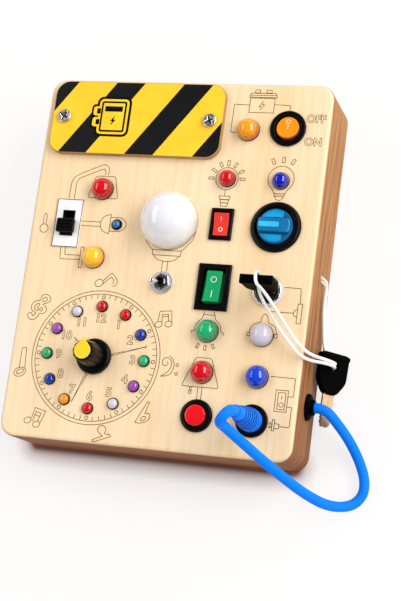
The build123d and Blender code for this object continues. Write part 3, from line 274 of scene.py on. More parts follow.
def striped(name):
    """Yellow cover with wide black diagonal bars printed on it."""
    material, tree, shader = new_material(name)
    vector = place_nodes(tree)
    place = separate(tree, vector)
    slope = math.tan(math.radians(STRIPE_ANGLE))
    across = calc(tree, "MULTIPLY_ADD", place["Y"], -1 / slope, place["X"])
    across = calc(tree, "ADD", across, (STRIPE_FOOT[1] / slope - STRIPE_FOOT[0]) * MM)
    inside = calc(tree, "FLOORED_MODULO", across, STRIPE_PITCH * MM)
    bar = calc(tree, "LESS_THAN", inside, STRIPE_WIDTH * MM)
    drift = noise(tree, vector, 70)
    yellow = ramp(tree, drift, [(0.3, (0.99, 0.55, 0.02)), (0.7, (1, 0.61, 0.03))])
    black = ramp(tree, drift, [(0.3, (0.004, 0.004, 0.005)), (0.7, (0.007, 0.007, 0.008))])
    edge = ramp(tree, drift, [(0.3, (0.36, 0.20, 0.06)), (0.7, (0.46, 0.27, 0.09))])
    normal = separate(tree, coordinates(tree, "Normal"))
    on_top = calc(tree, "GREATER_THAN", normal["Z"], 0.9)
    fine = noise(tree, vector, 500)
    paint(tree, shader, mix(tree, on_top, edge, mix(tree, bar, yellow, black)), fine, 0.15, 0.425)
    set_values(shader, Specular_IOR_Level=0.2)
    bump(tree, shader, fine, 0.1, 0.02)
    return material


# ---------- materials ----------
WOOD = wood("pine_wood")
BOARD_BACK = plastic("hardboard", (0.42, 0.26, 0.13), 0.7, 0.2)
COVER = striped("striped_cover")
BLACK = plastic("black_plastic", (0.0025, 0.002, 0.0025), 0.3, shine=0.16)
BLACK_SATIN = plastic("black_satin", (0.001, 0.0009, 0.001), 0.5, shine=0.02)
ZINC = metal("zinc_screw", (0.75, 0.72, 0.66), 0.3)
CHROME = metal("chrome", (0.86, 0.87, 0.9), 0.12)
NICKEL = metal("nickel", (0.92, 0.92, 0.94), 0.5)
DARK_STEEL = metal("dark_steel", (0.16, 0.155, 0.15), 0.25)
BRASS = metal("brass", (0.66, 0.44, 0.26), 0.38)
WHITE = plastic("white_plastic", (0.86, 0.85, 0.84), 0.35)
# The globe's low colour is lighter than its top: painted light on its shaded flanks.
LAMP_WHITE = milky(glossy("lamp_white", (0.75, 0.74, 0.80), (1, 0.99, 1), 0.9))
BLUE_RUBBER = plastic("blue_rubber", (0.002, 0.20, 0.92), 0.5, 0.0, variation=0.03, shine=0.08)
STRING = plastic("white_string", (0.88, 0.86, 0.84), 0.7, 0.2)
# The glossy pairs are lit and shaded copies of each colour: painted light on top, painted shade low.
RED = glossy("red_gloss", (0.66, 0.001, 0.006), (0.20, 0, 0.002))
BUTTON_RED = glossy("button_red", (0.86, 0.008, 0.012), (0.45, 0.002, 0.006), 0.5)
ORANGE = glossy("orange_gloss", (0.92, 0.33, 0.006), (0.46, 0.09, 0.001))
YELLOW = glossy("yellow_gloss", (1, 0.56, 0.03), (0.70, 0.26, 0.003))
GREEN = glossy("green_gloss", (0.014, 0.44, 0.16), (0.003, 0.10, 0.03))
BLUE = glossy("blue_gloss", (0.003, 0.007, 0.44), (0.001, 0.001, 0.09))
LOW_BLUE = glossy("low_blue_gloss", (0.006, 0.05, 0.62), (0.001, 0.005, 0.16))
CLOCK_BLUE = glossy("clock_blue_gloss", (0.005, 0.04, 0.38), (0.001, 0.006, 0.15))
LED_BLUE = glossy("led_blue_gloss", (0.01, 0.16, 0.50), (0.003, 0.03, 0.14))
PURPLE = glossy("purple_gloss", (0.36, 0.07, 0.42), (0.13, 0.015, 0.18))
PEARL = glossy("pearl_gloss", (0.66, 0.61, 0.70), (0.42, 0.38, 0.46))
RED_ROCKER = glossy("red_rocker_gloss", (0.80, 0.045, 0.03), (0.45, 0.008, 0.008), 0.4)
GREEN_ROCKER = glossy("green_rocker_gloss", (0.010, 0.36, 0.12), (0.004, 0.15, 0.045), 0.4)
GREEN_DEEP = glossy("green_deep", (0.002, 0.10, 0.032), (0.001, 0.035, 0.012), 0.4)
AMBER_GLOSS = glossy("amber_gloss", (0.88, 0.28, 0.006), (0.34, 0.06, 0.002), 0.6)
CAP_YELLOW = plastic("cap_yellow", (1, 0.60, 0.02), 0.4, shine=0.2)
# The knob's deep blue is painted shade.
ROTARY_SHADE_BLUE = plastic("rotary_painted_shade", (0.004, 0.12, 0.29), 0.2, coat=0.3, shine=0.2)
ROTARY_GRIP = plastic("rotary_grip_blue", (0.006, 0.17, 0.38), 0.16, coat=0.5, shine=0.2)
# The knob's bright cyan is painted light.
ROTARY_LIT_CYAN = plastic("rotary_painted_light", (0.01, 0.36, 0.70), 0.2, coat=0.3, shine=0.2)
ROTARY_PALE = plastic("rotary_pale", (0.04, 0.48, 0.84), 0.2, shine=0.2)
MARK_WHITE = plastic("mark_white", (0.85, 0.85, 0.85), 0.5)
SCREW_DARK = metal("screw_shadow", (0.10, 0.09, 0.08), 0.5)
BURNT = plastic("burnt_line", (0.14, 0.068, 0.012), 0.8, shine=0.0)
BLUE_GROOVE = plastic("blue_groove", (0.002, 0.06, 0.32), 0.5, 0.0, shine=0.1)

# Materials of the CAD nodes that stay in view. All others are black.
NODE_MATERIALS = {
    "case_frame": WOOD, "front_panel": WOOD, "back_panel": BOARD_BACK, "battery_cover": COVER,
    "slide_plate": WHITE, "lock_nut": CHROME,
}


def dress_frame():
    for name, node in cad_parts.items():
        for slot in node.material_slots:
            slot.material = NODE_MATERIALS.get(name, BLACK)


HOUSING_EDGE = 0.45
WELD_GAP = 0.01


def soften_housings():
    """Small round edges on the plain CAD housings."""
    for name in ("red_switch_housing", "green_switch_housing", "battery_cover"):
        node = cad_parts[name]
        weld = node.modifiers.new("weld", "WELD")
        weld.merge_threshold = WELD_GAP * MM
        bevelled(node, HOUSING_EDGE, 2, 40)


# ---------- mesh helpers ----------
def at(x, y, z=FACE):
    return Matrix.Translation((x, y, z))


def turn(axis, degrees):
    return Matrix.Rotation(math.radians(degrees), 4, axis)


def linked(name, data):
    thing = bpy.data.objects.new(name, data)
    bpy.context.collection.objects.link(thing)
    return thing


def stands_for(node):
    """The CAD node that the piece stands for is hidden."""
    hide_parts(node)


def smoothed(mesh, material, angle):
    """The mesh in one material, smooth up to an angle."""
    mesh.materials.clear()
    mesh.materials.append(material)
    for face in mesh.polygons:
        face.use_smooth = True
    mesh.set_sharp_from_angle(angle=math.radians(angle))
    return mesh


def add_piece(name, body, material, mesh, smooth=35, node=None):
    """Links a mesh in metres, which rides on a body and may take a CAD node's place."""
    piece = linked(name, smoothed(mesh, material, smooth))
    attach(piece, body)
    if node:
        stands_for(node)
    return piece


def mesh_from(name, place, points, faces):
    """A mesh from millimetre points that place carries to the board."""
    mesh = bpy.data.meshes.new(name)
    mesh.from_pydata([(place @ Vector(point)) * MM for point in points], [], faces)
    mesh.update()
    return mesh


def mesh_of(curve):
    """The mesh of a curve, by way of an object that is removed again."""
    shape = bpy.data.objects.new(curve.name + "_shape", curve)
    mesh = bpy.data.meshes.new_from_object(shape)
    bpy.data.objects.remove(shape)
    return mesh


def carried(mesh, place):
    """A mesh in metres, carried by a place in millimetres."""
    place = place.copy()
    place.translation *= MM
    mesh.transform(place)
    return mesh


def bevelled(piece, width, segments=3, angle=35):
    modifier = piece.modifiers.new("soft_edge", "BEVEL")
    modifier.width = width * MM
    modifier.segments = segments
    modifier.limit_method = "ANGLE"
    modifier.angle_limit = math.radians(angle)
    return piece


def lathe(name, body, material, place, profile, around=64, warp=None, smooth=35, node=None):
    """A turned piece about place's Z axis from (radius, height) points, from its foot to its top."""
    points, faces = [], []
    for radius, height in profile:
        for i in range(around):
            angle = 2 * math.pi * i / around
            point = (radius * math.cos(angle), radius * math.sin(angle), height)
            points.append(warp(*point) if warp else point)
    for low in range(0, (len(profile) - 1) * around, around):
        for i in range(around):
            j = (i + 1) % around
            faces.append((low + i, low + j, low + around + j, low + around + i))
    last = (len(profile) - 1) * around
    faces.append(tuple(reversed(range(around))))
    faces.append(tuple(range(last, last + around)))
    return add_piece(name, body, material, mesh_from(name, place, points, faces), smooth, node)


def rounded(points, radius, steps=4, closed=False):
    """The points with their corners rounded off."""
    count = len(points)
    result = []
    for i, corner in enumerate(points):
        if not closed and i in (0, count - 1):
            result.append(tuple(corner))
            continue
        corner = Vector(corner)
        before, after = Vector(points[i - 1]), Vector(points[(i + 1) % count])
        cut = min(radius, 0.45 * (before - corner).length, 0.45 * (after - corner).length)
        start = corner + (before - corner).normalized() * cut
        end = corner + (after - corner).normalized() * cut
        for k in range(steps + 1):
            t = k / steps
            result.append(tuple((1 - t) ** 2 * start + 2 * t * (1 - t) * corner + t ** 2 * end))
    return result


def rectangle(width, height, radius=0.0, x=0.0, y=0.0):
    corners = [(x - width / 2, y - height / 2), (x + width / 2, y - height / 2),
               (x + width / 2, y + height / 2), (x - width / 2, y + height / 2)]
    return rounded(corners, 1.4 * radius, 6, True) if radius else corners


def arc(x, y, radius, start=0.0, end=360.0, steps=24):
    """Points on an arc, in degrees from +X. A whole circle leaves out its last point."""
    whole = abs(end - start) >= 360
    count = steps if whole else steps + 1
    angles = [math.radians(start + (end - start) * k / steps) for k in range(count)]
    return [(x + radius * math.cos(angle), y + radius * math.sin(angle)) for angle in angles]


def turned(points, x, y, degrees):
    """Flat points, turned and then carried to x, y."""
    along, across = math.cos(math.radians(degrees)), math.sin(math.radians(degrees))
    return [(x + u * along - v * across, y + u * across + v * along) for u, v in points]


def plate(name, body, material, place, outlines, low, high, edge=0.3, smooth=50, node=None):
    """A plate with rounded edges. The first outline is its outside and the others are holes."""
    curve = bpy.data.curves.new(name, "CURVE")
    curve.dimensions = "2D"
    curve.fill_mode = "BOTH"
    curve.extrude = ((high - low) / 2 - edge) * MM
    curve.bevel_depth = edge * MM
    curve.bevel_resolution = 2
    curve.offset = -edge * MM
    for index, outline in enumerate(outlines):
        spline = curve.splines.new("POLY")
        spline.points.add(len(outline) - 1)
        for point, (x, y) in zip(spline.points, outline if index == 0 else outline[::-1]):
            point.co = (x * MM, y * MM, 0, 1)
        spline.use_cyclic_u = True
    mesh = carried(mesh_of(curve), place @ at(0, 0, (low + high) / 2))
    return add_piece(name, body, material, mesh, smooth, node)


def prism(name, body, material, place, outline, half_width, edge=0.3, node=None):
    """An outline in place's YZ plane, carried along X to both sides, with softened edges."""
    count = len(outline)
    points = [(x, y, z) for x in (-half_width, half_width) for y, z in outline]
    faces = [tuple(reversed(range(count))), tuple(range(count, 2 * count))]
    for i in range(count):
        j = (i + 1) % count
        faces.append((i, j, count + j, count + i))
    return bevelled(add_piece(name, body, material, mesh_from(name, place, points, faces), node=node), edge)


def ribbons(name, body, material, place, strokes, width=0.45, node=None):
    """Thin flat lines along (points, closed) strokes in place's XY plane."""
    points, faces = [], []
    for line, closed in strokes:
        line = [Vector(point) for point in line]
        count = len(line)
        first = len(points)
        for i, point in enumerate(line):
            before = line[i - 1] if closed or i > 0 else point
            after = line[(i + 1) % count] if closed or i < count - 1 else point
            into, out = (point - before).normalized(), (after - point).normalized()
            along = (into + out).normalized() if (into + out).length > 0.2 else (out or into)
            spread = max(0.5, along.dot(out if out.length else into))
            side = Vector((-along.y, along.x)) * width / 2 / spread
            points += [(*(point + side), 0), (*(point - side), 0)]
        for i in range(count if closed else count - 1):
            a, b = first + 2 * i, first + 2 * ((i + 1) % count)
            faces.append((a, a + 1, b + 1, b))
    return add_piece(name, body, material, mesh_from(name, place, points, faces), node=node)


# ---------- burnt line drawings on the front ----------
LINE = 0.44                      # width of a burnt line
LINE_LIFT = 0.03                 # its height over the face
NUMBER_CIRCLE = 25.3
TICK_CIRCLE = 39.1
CAPITAL_SHARE = 0.70             # a capital's height in its font size


def letters(name, text, x, y, height):
    """Outlined upright lettering, centred on x, y, burnt into the front."""
    curve = bpy.data.curves.new(name, "FONT")
    curve.body = text
    curve.size = height / CAPITAL_SHARE * MM
    curve.align_x = curve.align_y = "CENTER"
    curve.fill_mode = "NONE"
    curve.offset = 0.22 * MM
    curve.bevel_depth = 0.18 * MM
    curve.bevel_resolution = 0
    curve.resolution_u = 3
    flat = Matrix.Diagonal((1, 1, 0.1, 1))
    return add_piece(name, "board", BURNT, carried(mesh_of(curve), at(x, y, FACE + LINE_LIFT) @ flat))


def through(points, steps=5, closed=False):
    """A smooth line through the points."""
    count = len(points)
    result = []
    for i in range(count if closed else count - 1):
        if closed:
            a, b, c, d = (Vector(points[(i + k) % count]) for k in (-1, 0, 1, 2))
        else:
            a, b = Vector(points[max(i - 1, 0)]), Vector(points[i])
            c, d = Vector(points[i + 1]), Vector(points[min(i + 2, count - 1)])
        for k in range(steps):
            t = k / steps
            result.append(tuple(0.5 * (2 * b + (c - a) * t + (2 * a - 5 * b + 4 * c - d) * t ** 2
                                       + (3 * b - a - 3 * c + d) * t ** 3)))
    return result if closed else result + [tuple(points[-1])]


# Closed strokes: the points, and True.
def loop(*points):
    return points, True


def smooth_loop(*points):
    return through(points, 3, True), True


def ring(x, y, radius, steps=24):
    return arc(x, y, radius, steps=steps), True


def oval(x, y, long, short, degrees=0.0):
    return turned([(u * long, v * short) for u, v in arc(0, 0, 1.0, steps=20)], x, y, degrees), True


def ray(x, y, width, length, degrees):
    """A small open box, its long side turned from upright."""
    return turned(rectangle(width, length), x, y, degrees), True


def burn(name, *strokes):
    """Each stroke is a list of points, or a closed stroke."""
    pairs = [stroke if isinstance(stroke, tuple) else (stroke, False) for stroke in strokes]
    return ribbons(name, "board", BURNT, at(0, 0, FACE + LINE_LIFT), pairs, LINE)


def draw_dial():
    strokes = [ring(CLOCK_X, CLOCK_Y, 43.4, 96), ring(CLOCK_X, CLOCK_Y, 41.2, 96)]
    for minute in range(60):
        angle = math.radians(6 * minute)
        across, up = math.sin(angle), math.cos(angle)
        if minute % 5:
            strokes.append([(CLOCK_X + r * across, CLOCK_Y + r * up) for r in (38.3, 40.9)])
        else:
            strokes.append(ring(CLOCK_X + TICK_CIRCLE * across, CLOCK_Y + TICK_CIRCLE * up, 1.1, 12))
    burn("dial_rings", *strokes)
    for hour in range(1, 13):
        angle = math.radians(30 * hour)
        letters(f"dial_number_{hour}", str(hour), CLOCK_X + NUMBER_CIRCLE * math.sin(angle),
                CLOCK_Y + NUMBER_CIRCLE * math.cos(angle), 5.5)
    burn("dial_hands", loop((-27.4, -63.9), (-26.9, -62.5), (-5.2, -56.4)),
        [(-5.6, -57.6), (-4.8, -55.2)], loop((-43.2, -76.6), (-42, -77.3), (-49.9, -95.4)),
        loop((-52, -55.5), (-54.4, -53.9), (-53, -56.3)))


def draw_notes():
    burn("note_treble",
        smooth_loop((-82, -31.4), (-81.5, -29.3), (-80.4, -27.8), (-78.8, -27.2), (-76.7, -27.7),
            (-75.1, -29.2), (-75, -31.1), (-75.9, -32.4), (-77.8, -33.2), (-79.4, -33.9),
            (-77.8, -35.1), (-76.7, -36.5), (-76.7, -38.2), (-77.8, -39.6), (-79.4, -40.2),
            (-81.2, -40.3), (-81.8, -41.8), (-83.2, -43.4), (-85.2, -44.6), (-87.5, -44.2),
            (-89, -42.9), (-89.3, -41.3), (-88.6, -40.2), (-87.5, -39.8), (-86.6, -40.4),
            (-85.7, -41.9), (-83.8, -40.2), (-86.4, -38.6), (-87.5, -36.8), (-87.3, -34.8),
            (-86.3, -33), (-84.4, -31.9)),
        smooth_loop((-79.8, -32.2), (-80.2, -30.8), (-79.6, -29.5), (-78.5, -29.1), (-77.4, -29.8),
            (-77.3, -31.1), (-78.4, -32)),
        smooth_loop((-81.9, -33.8), (-83.5, -33.8), (-84.8, -35), (-85.2, -36.6), (-84.5, -37.8),
            (-82.9, -38.3), (-82.3, -36.9), (-83.3, -36), (-82.3, -35)), ring(-80.3, -37.4, 1.1, 12))
    burn("note_half", [(-89.3, -77), (-89.3, -63.6), (-86.3, -63.2), (-85.4, -76.6)],
        oval(-88.5, -79.3, 4.2, 2.9, 20), oval(-88.3, -79.0, 2.6, 1.3, 25))
    burn("note_pair_low", [(-75.4, -108.2), (-73.8, -101.4), (-66.3, -103.2), (-69.1, -111)],
        loop((-72.9, -103.9), (-69.3, -104.8), (-70, -106.9), (-73.4, -106)),
        oval(-71.6, -112.0, 2.5, 1.9, 20), oval(-77.9, -109.9, 2.5, 1.9, 20),
        [(-73.4, -106), (-74.4, -110.4)], [(-70, -106.9), (-70.9, -109.9)])
    burn("note_pair_high", [(0.4, -39.2), (0.9, -32.9), (8.6, -32.1), (9.9, -40.7)],
        loop((2.6, -34.9), (6.8, -34.5), (6.9, -35.9), (2.7, -36.4)), oval(7.6, -40.7, 2.4, 1.9, 15),
        oval(1.0, -41.4, 2.4, 1.9, 15), [(2.7, -36.4), (3, -40.2)], [(6.9, -35.9), (7.4, -38.9)])
    burn("note_quaver", oval(-43.1, -17.3, 2.9, 2.3, 25),
        through([(-40.7, -15.9), (-35.6, -10.6), (-33.6, -11.6), (-30.9, -15.2), (-31.6, -18),
            (-33.8, -18.9)]),
        through([(-41.6, -19.1), (-36, -13.4), (-34.2, -13.8), (-33.2, -15.4), (-33.9, -17.3)]))
    burn("note_bass",
        through([(6.9, -74.3), (11, -71.4), (13.2, -67.4), (12.4, -63.6), (9.6, -62.1), (7.2, -63.8),
            (7.4, -66.6), (9.6, -67.4), (10.9, -65.8), (10, -64.6)]),
        through([(6.9, -74.3), (12.6, -72.8), (15, -67.6), (13.8, -63), (11, -60.9)]),
        ring(17.0, -66.3, 0.9, 10), ring(17.0, -71.9, 0.9, 10))
    burn("note_flat", [(0.9, -91.1), (2.4, -91.4), (0.2, -98.6)],
        [(0.9, -91.1), (-5.6, -104.6), (-3, -105)],
        through([(0.2, -98.6), (2.8, -98.4), (3.6, -100.8), (1.4, -103.6), (-3, -105)]),
        oval(-0.6, -101.8, 1.9, 1.1, 35))
    burn("note_rest",
        (through([(-25.7, -115.3), (-27.6, -113.9), (-29.1, -112.6), (-29.6, -111.2), (-28.9, -109.6),
            (-27.4, -108.6), (-25.6, -109), (-24.2, -110.3), (-24.1, -111.9), (-24.7, -113.2),
            (-23.3, -114.1), (-21.9, -113.5)], 3) + [(-20.2, -114.8), (-21, -115.4), (-30.1, -119),
            (-31.8, -119.3), (-32.5, -118.3)], True))


def draw_supply():
    burn("drawn_battery", loop((42, 111.2), (58.4, 111.2), (58.4, 101.4), (42, 101.4)),
        loop((42.2, 114.5), (58.8, 114.5), (59.7, 111.7), (41.2, 111.8)), [(41.7, 113.1), (59.2, 113.1)],
        loop((44.7, 114.8), (44.9, 116.8), (47.9, 116.8), (48.2, 114.8)),
        loop((52.3, 114.8), (52.5, 116.8), (55.6, 116.8), (55.9, 114.8)),
        loop((50.7, 109.3), (48.4, 105.6), (49.8, 105.6), (49.3, 103.1), (51.8, 106.8), (50.3, 106.8)))
    burn("drawn_supply_wires", rounded([(42, 106.4), (31.8, 106.7), (31.5, 87.7), (35.9, 87.7)], 0.6),
        rounded([(58.4, 107), (69, 106.8), (69, 103.2)], 0.6))
    letters("label_off", "OFF", 86.9, 98.1, 5.0)
    letters("label_on", "ON", 86.6, 82.7, 5.0)


def draw_small_lamps():
    x, y = 33.3, 56.4
    rays = [ray(x + 10.4 * math.cos(math.radians(a)), y + 10.4 * math.sin(math.radians(a)), 1.5, 3.4, a - 90)
            for a in (0, 28, 62, 90, 118, 150, 180)]
    burn("drawn_rays", ring(x, y, 7.4, 40), *rays)
    burn("drawn_screw_base", [(33.2, 49), (33.2, 44.9)],
        loop((29.7, 44.8), (37, 44.8), (36.5, 42.5), (30.4, 42.5)),
        loop((30.5, 42.3), (36.5, 42.3), (35.9, 40.3), (30.9, 40.3)),
        loop((30.9, 40.2), (35.9, 40.2), (35.5, 38.1), (31.3, 38.1)))
    bulb = arc(68.8, 57.7, 8.5, -52, 232, 40)
    burn("drawn_bulb", [(72, 46.2), (72.2, 48)] + bulb + [(65.5, 48), (65.7, 46.2)],
        loop((65.3, 48.1), (72.2, 48.1), (71.9, 46), (65.7, 46)), [(66.2, 47), (71.4, 47)],
        through([(66, 46), (67, 44.3), (68.8, 43.7), (70.6, 44.3), (71.6, 46)]),
        ray(62.6, 69.0, 1.7, 3.6, 24), ray(69.2, 70.4, 1.7, 3.6, 0), ray(75.6, 69.2, 1.7, 3.6, -28))


def draw_globe_lamp():
    burn("drawn_globe_collar", through([(-15.6, 13.4), (-12.6, 9.4), (-9.9, 7)]),
        through([(17.4, 20), (15.6, 14), (9.4, 7)]),
        loop((-10, 7), (9.4, 7), (9.1, 3.6), (-9.6, 3.6)),
        through([(-9, 3.6), (-6, 0.8), (-0.2, -0.3), (5.6, 0.8), (8.6, 3.6)]),
        [(-2.1, -0.3), (-2.1, -6.9)], [(1.4, -0.3), (1.4, -6.9)])


def draw_desk_lamp():
    burn("drawn_desk_lamp",
        through([(-72.7, 38.1), (-72.7, 47.7), (-71.2, 52.2), (-67.4, 55.2), (-54.1, 61.3),
            (-50.6, 62.1), (-48.2, 60.6), (-47.4, 58.4), (-47.7, 55.2)]),
        through([(-69.1, 38.1), (-69.1, 48.4), (-68.2, 51), (-66.3, 52.7), (-52.7, 58.8),
            (-50.6, 58.8), (-49.7, 57), (-49.7, 55.2)]),
        (rounded([(-55.9, 54.3), (-42.4, 54.5), (-38.9, 39.4), (-59.9, 39.4)], 2.0, 4, True), True))


def draw_blue_light():
    burn("drawn_blue_light", [(-61.6, 23.3), (-48.2, 23.3)], [(-61.6, 20.3), (-48.2, 20.3)],
        (through([(-41.6, 28.8), (-46.2, 27), (-48.3, 22.2), (-46.2, 17.6), (-41.6, 15.7)]), True),
        rounded([(-41.6, 26.6), (-33.2, 26.9), (-29.4, 22.2), (-33.2, 17.5), (-41.6, 17.5)], 2.6, 4))


def draw_yellow_lamp():
    burn("drawn_yellow_lamp", rounded([(-73.4, 5.2), (-72.9, -2.9), (-59.2, -2.6)], 1.2),
        rounded([(-70.1, 5.2), (-69.9, 0.2), (-59.2, 0.2)], 0.8),
        loop((-59.1, 5.8), (-57.1, 5.8), (-57.1, -8), (-59.1, -8)))
    burn("drawn_pull", ring(-87.3, 17.1, 2.9, 20),
        [(-88.4, 19.8), (-88.6, 25.6), (-87.4, 27.6), (-86.3, 25.6), (-86.4, 19.8)])


def draw_pendants():
    burn("drawn_green_shade", [(30.3, -30.9), (29.2, -35.6)], [(36.7, -30.9), (38, -35.6)],
        [(29.8, -32.9), (37.2, -32.9)], through([(38, -35.6), (41.4, -39), (42.6, -43.6)]),
        through([(29.2, -35.6), (25.9, -38.9), (24.9, -43.6)]),
        [(42.6, -43.6), (44.3, -43.8), (44.2, -45.4)], [(24.9, -43.6), (23.2, -43.8), (23.4, -45.2)],
        ray(28.5, -53.0, 1.4, 2.8, -28), ray(33.5, -54.1, 1.4, 2.8, 0), ray(38.5, -52.8, 1.4, 2.8, 28))
    burn("drawn_pearl_shade",
        through([(67.4, -35), (67.8, -31.6), (69.6, -29.8), (71.4, -31.6), (72.1, -35)]),
        through([(67.4, -35), (62.4, -37.1), (60.3, -42.1)]),
        through([(72.1, -35), (76.6, -37.5), (78.3, -42.1)]),
        loop((59.4, -42.1), (61.2, -42.1), (61.2, -44.3), (59.4, -44.3)),
        loop((76.8, -42.1), (78.8, -42.1), (78.8, -44.3), (76.8, -44.3)))


def draw_lock_wire():
    burn("drawn_lock_wire", rounded([(79.6, -12.1), (90.3, -12.2), (90.9, -22)], 0.8),
        loop((89.6, -22), (92.4, -22), (92.4, -34.4), (89.6, -34.4)),
        through([(89.6, -25.6), (87.9, -26.3), (87.3, -28), (87.9, -29.7), (89.6, -30.3)]),
        [(87.3, -28), (71.6, -28)])


def draw_low_lamps():
    burn("drawn_red_shade",
        (rounded([(28.7, -60.4), (38.9, -60.4), (45.6, -78.9), (21.4, -78.9)], 1.4, 4, True), True),
        [(32.4, -78.9), (32.4, -86.6)], [(35.1, -78.9), (35.1, -86.6)], [(26.9, -78.9), (26.9, -81.6)],
        [(28, -78.9), (28, -81.6)], ring(27.4, -82.6, 1.0, 12))
    burn("drawn_wall_socket", rounded([(77.9, -68.4), (93.5, -68.6), (93.5, -80), (90.1, -80.1)], 0.6),
        loop((82.4, -76.4), (90.1, -76.4), (90.1, -89.6), (82.4, -89.6)),
        loop((84, -77.9), (88.7, -77.9), (88.7, -88.2), (84, -88.2)), [(86.3, -79.8), (86.3, -82)],
        ring(86.4, -85.4, 1.4, 14),
        rounded([(90.1, -86.4), (93.2, -86.4), (93.1, -98.8), (86.9, -98.7)], 0.6))
    burn("drawn_plug", loop((83.7, -97), (86.7, -97.4), (86.7, -99.9), (83.7, -100.3)),
        loop((82.3, -94.8), (83.7, -94.8), (83.7, -101.6), (82.3, -101.6)),
        [(82.3, -96.9), (80.3, -96.9), (80.3, -97.7), (82.3, -97.7)],
        [(82.3, -99), (80.3, -99), (80.3, -99.8), (82.3, -99.8)])


# ---------- sign on the cover ----------
COVER_THICKNESS = 4.0


def printed(name, material, outline, height):
    """A thin flat print on the cover."""
    points = [(x, y, 0) for x, y in outline]
    place = at(0, 0, FACE + COVER_THICKNESS + height)
    return add_piece(name, "board", material, mesh_from(name, place, points, [tuple(range(len(points)))]))


def add_cover_sign():
    """A plain battery sign with a bolt."""
    x, y = -49.0, 94.2
    for side, tab in (("upper", 97.9), ("lower", 90.4)):
        printed(f"sign_tab_edge_{side}", BLACK, rectangle(8.0, 9.4, 2.2, x - 11.5, tab), 0.02)
        printed(f"sign_tab_{side}", CAP_YELLOW, rectangle(5.2, 6.4, 1.4, x - 11.5, tab), 0.05)
        printed(f"sign_tab_core_{side}", BLACK, rectangle(2.6, 3.8, 0.6, x - 10.4, tab), 0.08)
    printed("sign_edge", BLACK, rectangle(24.2, 27.6, 3.6, x, y), 0.03)
    printed("sign_body", CAP_YELLOW, rectangle(20.8, 24.2, 2.4, x, y), 0.06)
    printed("sign_frame", BLACK, rectangle(17.6, 21.2, 1.2, x, y), 0.09)
    printed("sign_face", CAP_YELLOW, rectangle(15.0, 18.6, 0.5, x, y), 0.12)
    printed("sign_window", BLACK, rectangle(12.4, 3.7, 0.3, x, y + 5.3), 0.15)
    bolt = [(1.4, -0.2), (-1.6, -3.9), (-0.2, -3.9), (-1.2, -7), (2.2, -2.9), (0.6, -2.9)]
    printed("sign_bolt", BLACK, [(x + u, y + 0.8 + v) for u, v in bolt], 0.15)


# ---------- lights on the front ----------
LENSES = [
    ("lens_orange", 43.5, 89.2, 7.4, ORANGE), ("lens_small_blue", 69.0, 56.2, 5.7, BLUE),
    ("lens_small_red", 33.8, 56.2, 5.7, RED), ("lens_left_red", -49.9, 45.4, 7.4, RED),
    ("lens_yellow", -49.3, -0.8, 7.4, YELLOW), ("lens_green", 33.8, -43.4, 7.4, GREEN),
    ("lens_pearl", 69.2, -43.4, 7.4, PEARL), ("lens_low_red", 33.8, -69.6, 7.4, RED),
    ("lens_low_blue", 69.4, -69.6, 7.4, LOW_BLUE),
]
CLOCK_LIGHTS = [RED, RED, CLOCK_BLUE, GREEN, PURPLE, PEARL, RED, ORANGE, CLOCK_BLUE, GREEN, PURPLE, PEARL]
CLOCK_LIGHT_CIRCLE = 33.1
LENS_COLLAR = 1.5


def dome(name, material, place, node, radius, collar, rise, around=64, steps=14):
    """A round dome on a short collar."""
    quarter = [math.pi / 2 * k / steps for k in range(steps)]
    profile = [(radius, 0.0)] + [(radius * math.cos(a), collar + rise * math.sin(a)) for a in quarter]
    top = (0.02, collar + rise)
    return lathe(name, "board", material, place, profile + [top], around, smooth=60, node=node)


def add_lenses():
    for name, x, y, radius, material in LENSES:
        dome(name, material, at(x, y), "indicator_lenses", radius - 0.2, LENS_COLLAR, radius)
        seat = rounded([(radius, 0), (radius, 1.1), (radius - 0.7, 1.1)], 0.3)
        lathe(name + "_seat", "board", BLACK, at(x, y), seat, node="indicator_lenses")
    dome("lamp_globe", LAMP_WHITE, at(*LAMP), "lamp_dome", 18.8, 2.6, 18.8, 96, 24)
    dome("blue_led_bead", LED_BLUE, at(*BLUE_LIGHT), "blue_led", 2.6, 1.0, 2.2, 32)
    rim = rounded([(3.6, 0), (3.6, 0.8), (2.9, 1), (2.62, 0.9), (2.62, 0.2)], 0.2)
    lathe("blue_led_ring", "board", BLACK, at(*BLUE_LIGHT), rim, 40, node="blue_led_holder")


def add_clock_lights():
    rim = rounded([(3.85, 0), (3.85, 0.8), (3.2, 1.1)], 0.15)
    for hour, material in enumerate(CLOCK_LIGHTS):
        angle = math.radians(90 - 30 * hour)
        across, up = CLOCK_LIGHT_CIRCLE * math.cos(angle), CLOCK_LIGHT_CIRCLE * math.sin(angle)
        place = at(CLOCK_X + across, CLOCK_Y + up)
        dome(f"clock_light_{hour}", material, place, "clock_leds", 3.3, 0.7, 2.7, 40)
        lathe(f"clock_light_ring_{hour}", "board", BLACK, place, rim, 40, node="clock_leds")


# ---------- clock knob ----------
def fluted(x, y, z):
    """Twelve narrow flutes down the barrel of the clock knob."""
    radius = math.hypot(x, y)
    if z < 5.5 or radius < 5.0:
        return x, y, z
    angle = math.atan2(y, x) - math.pi / 2
    groove = max(0.0, math.cos(12 * angle + math.pi)) ** 3
    shrink = (radius - 0.55 * groove) / radius
    return x * shrink, y * shrink, z


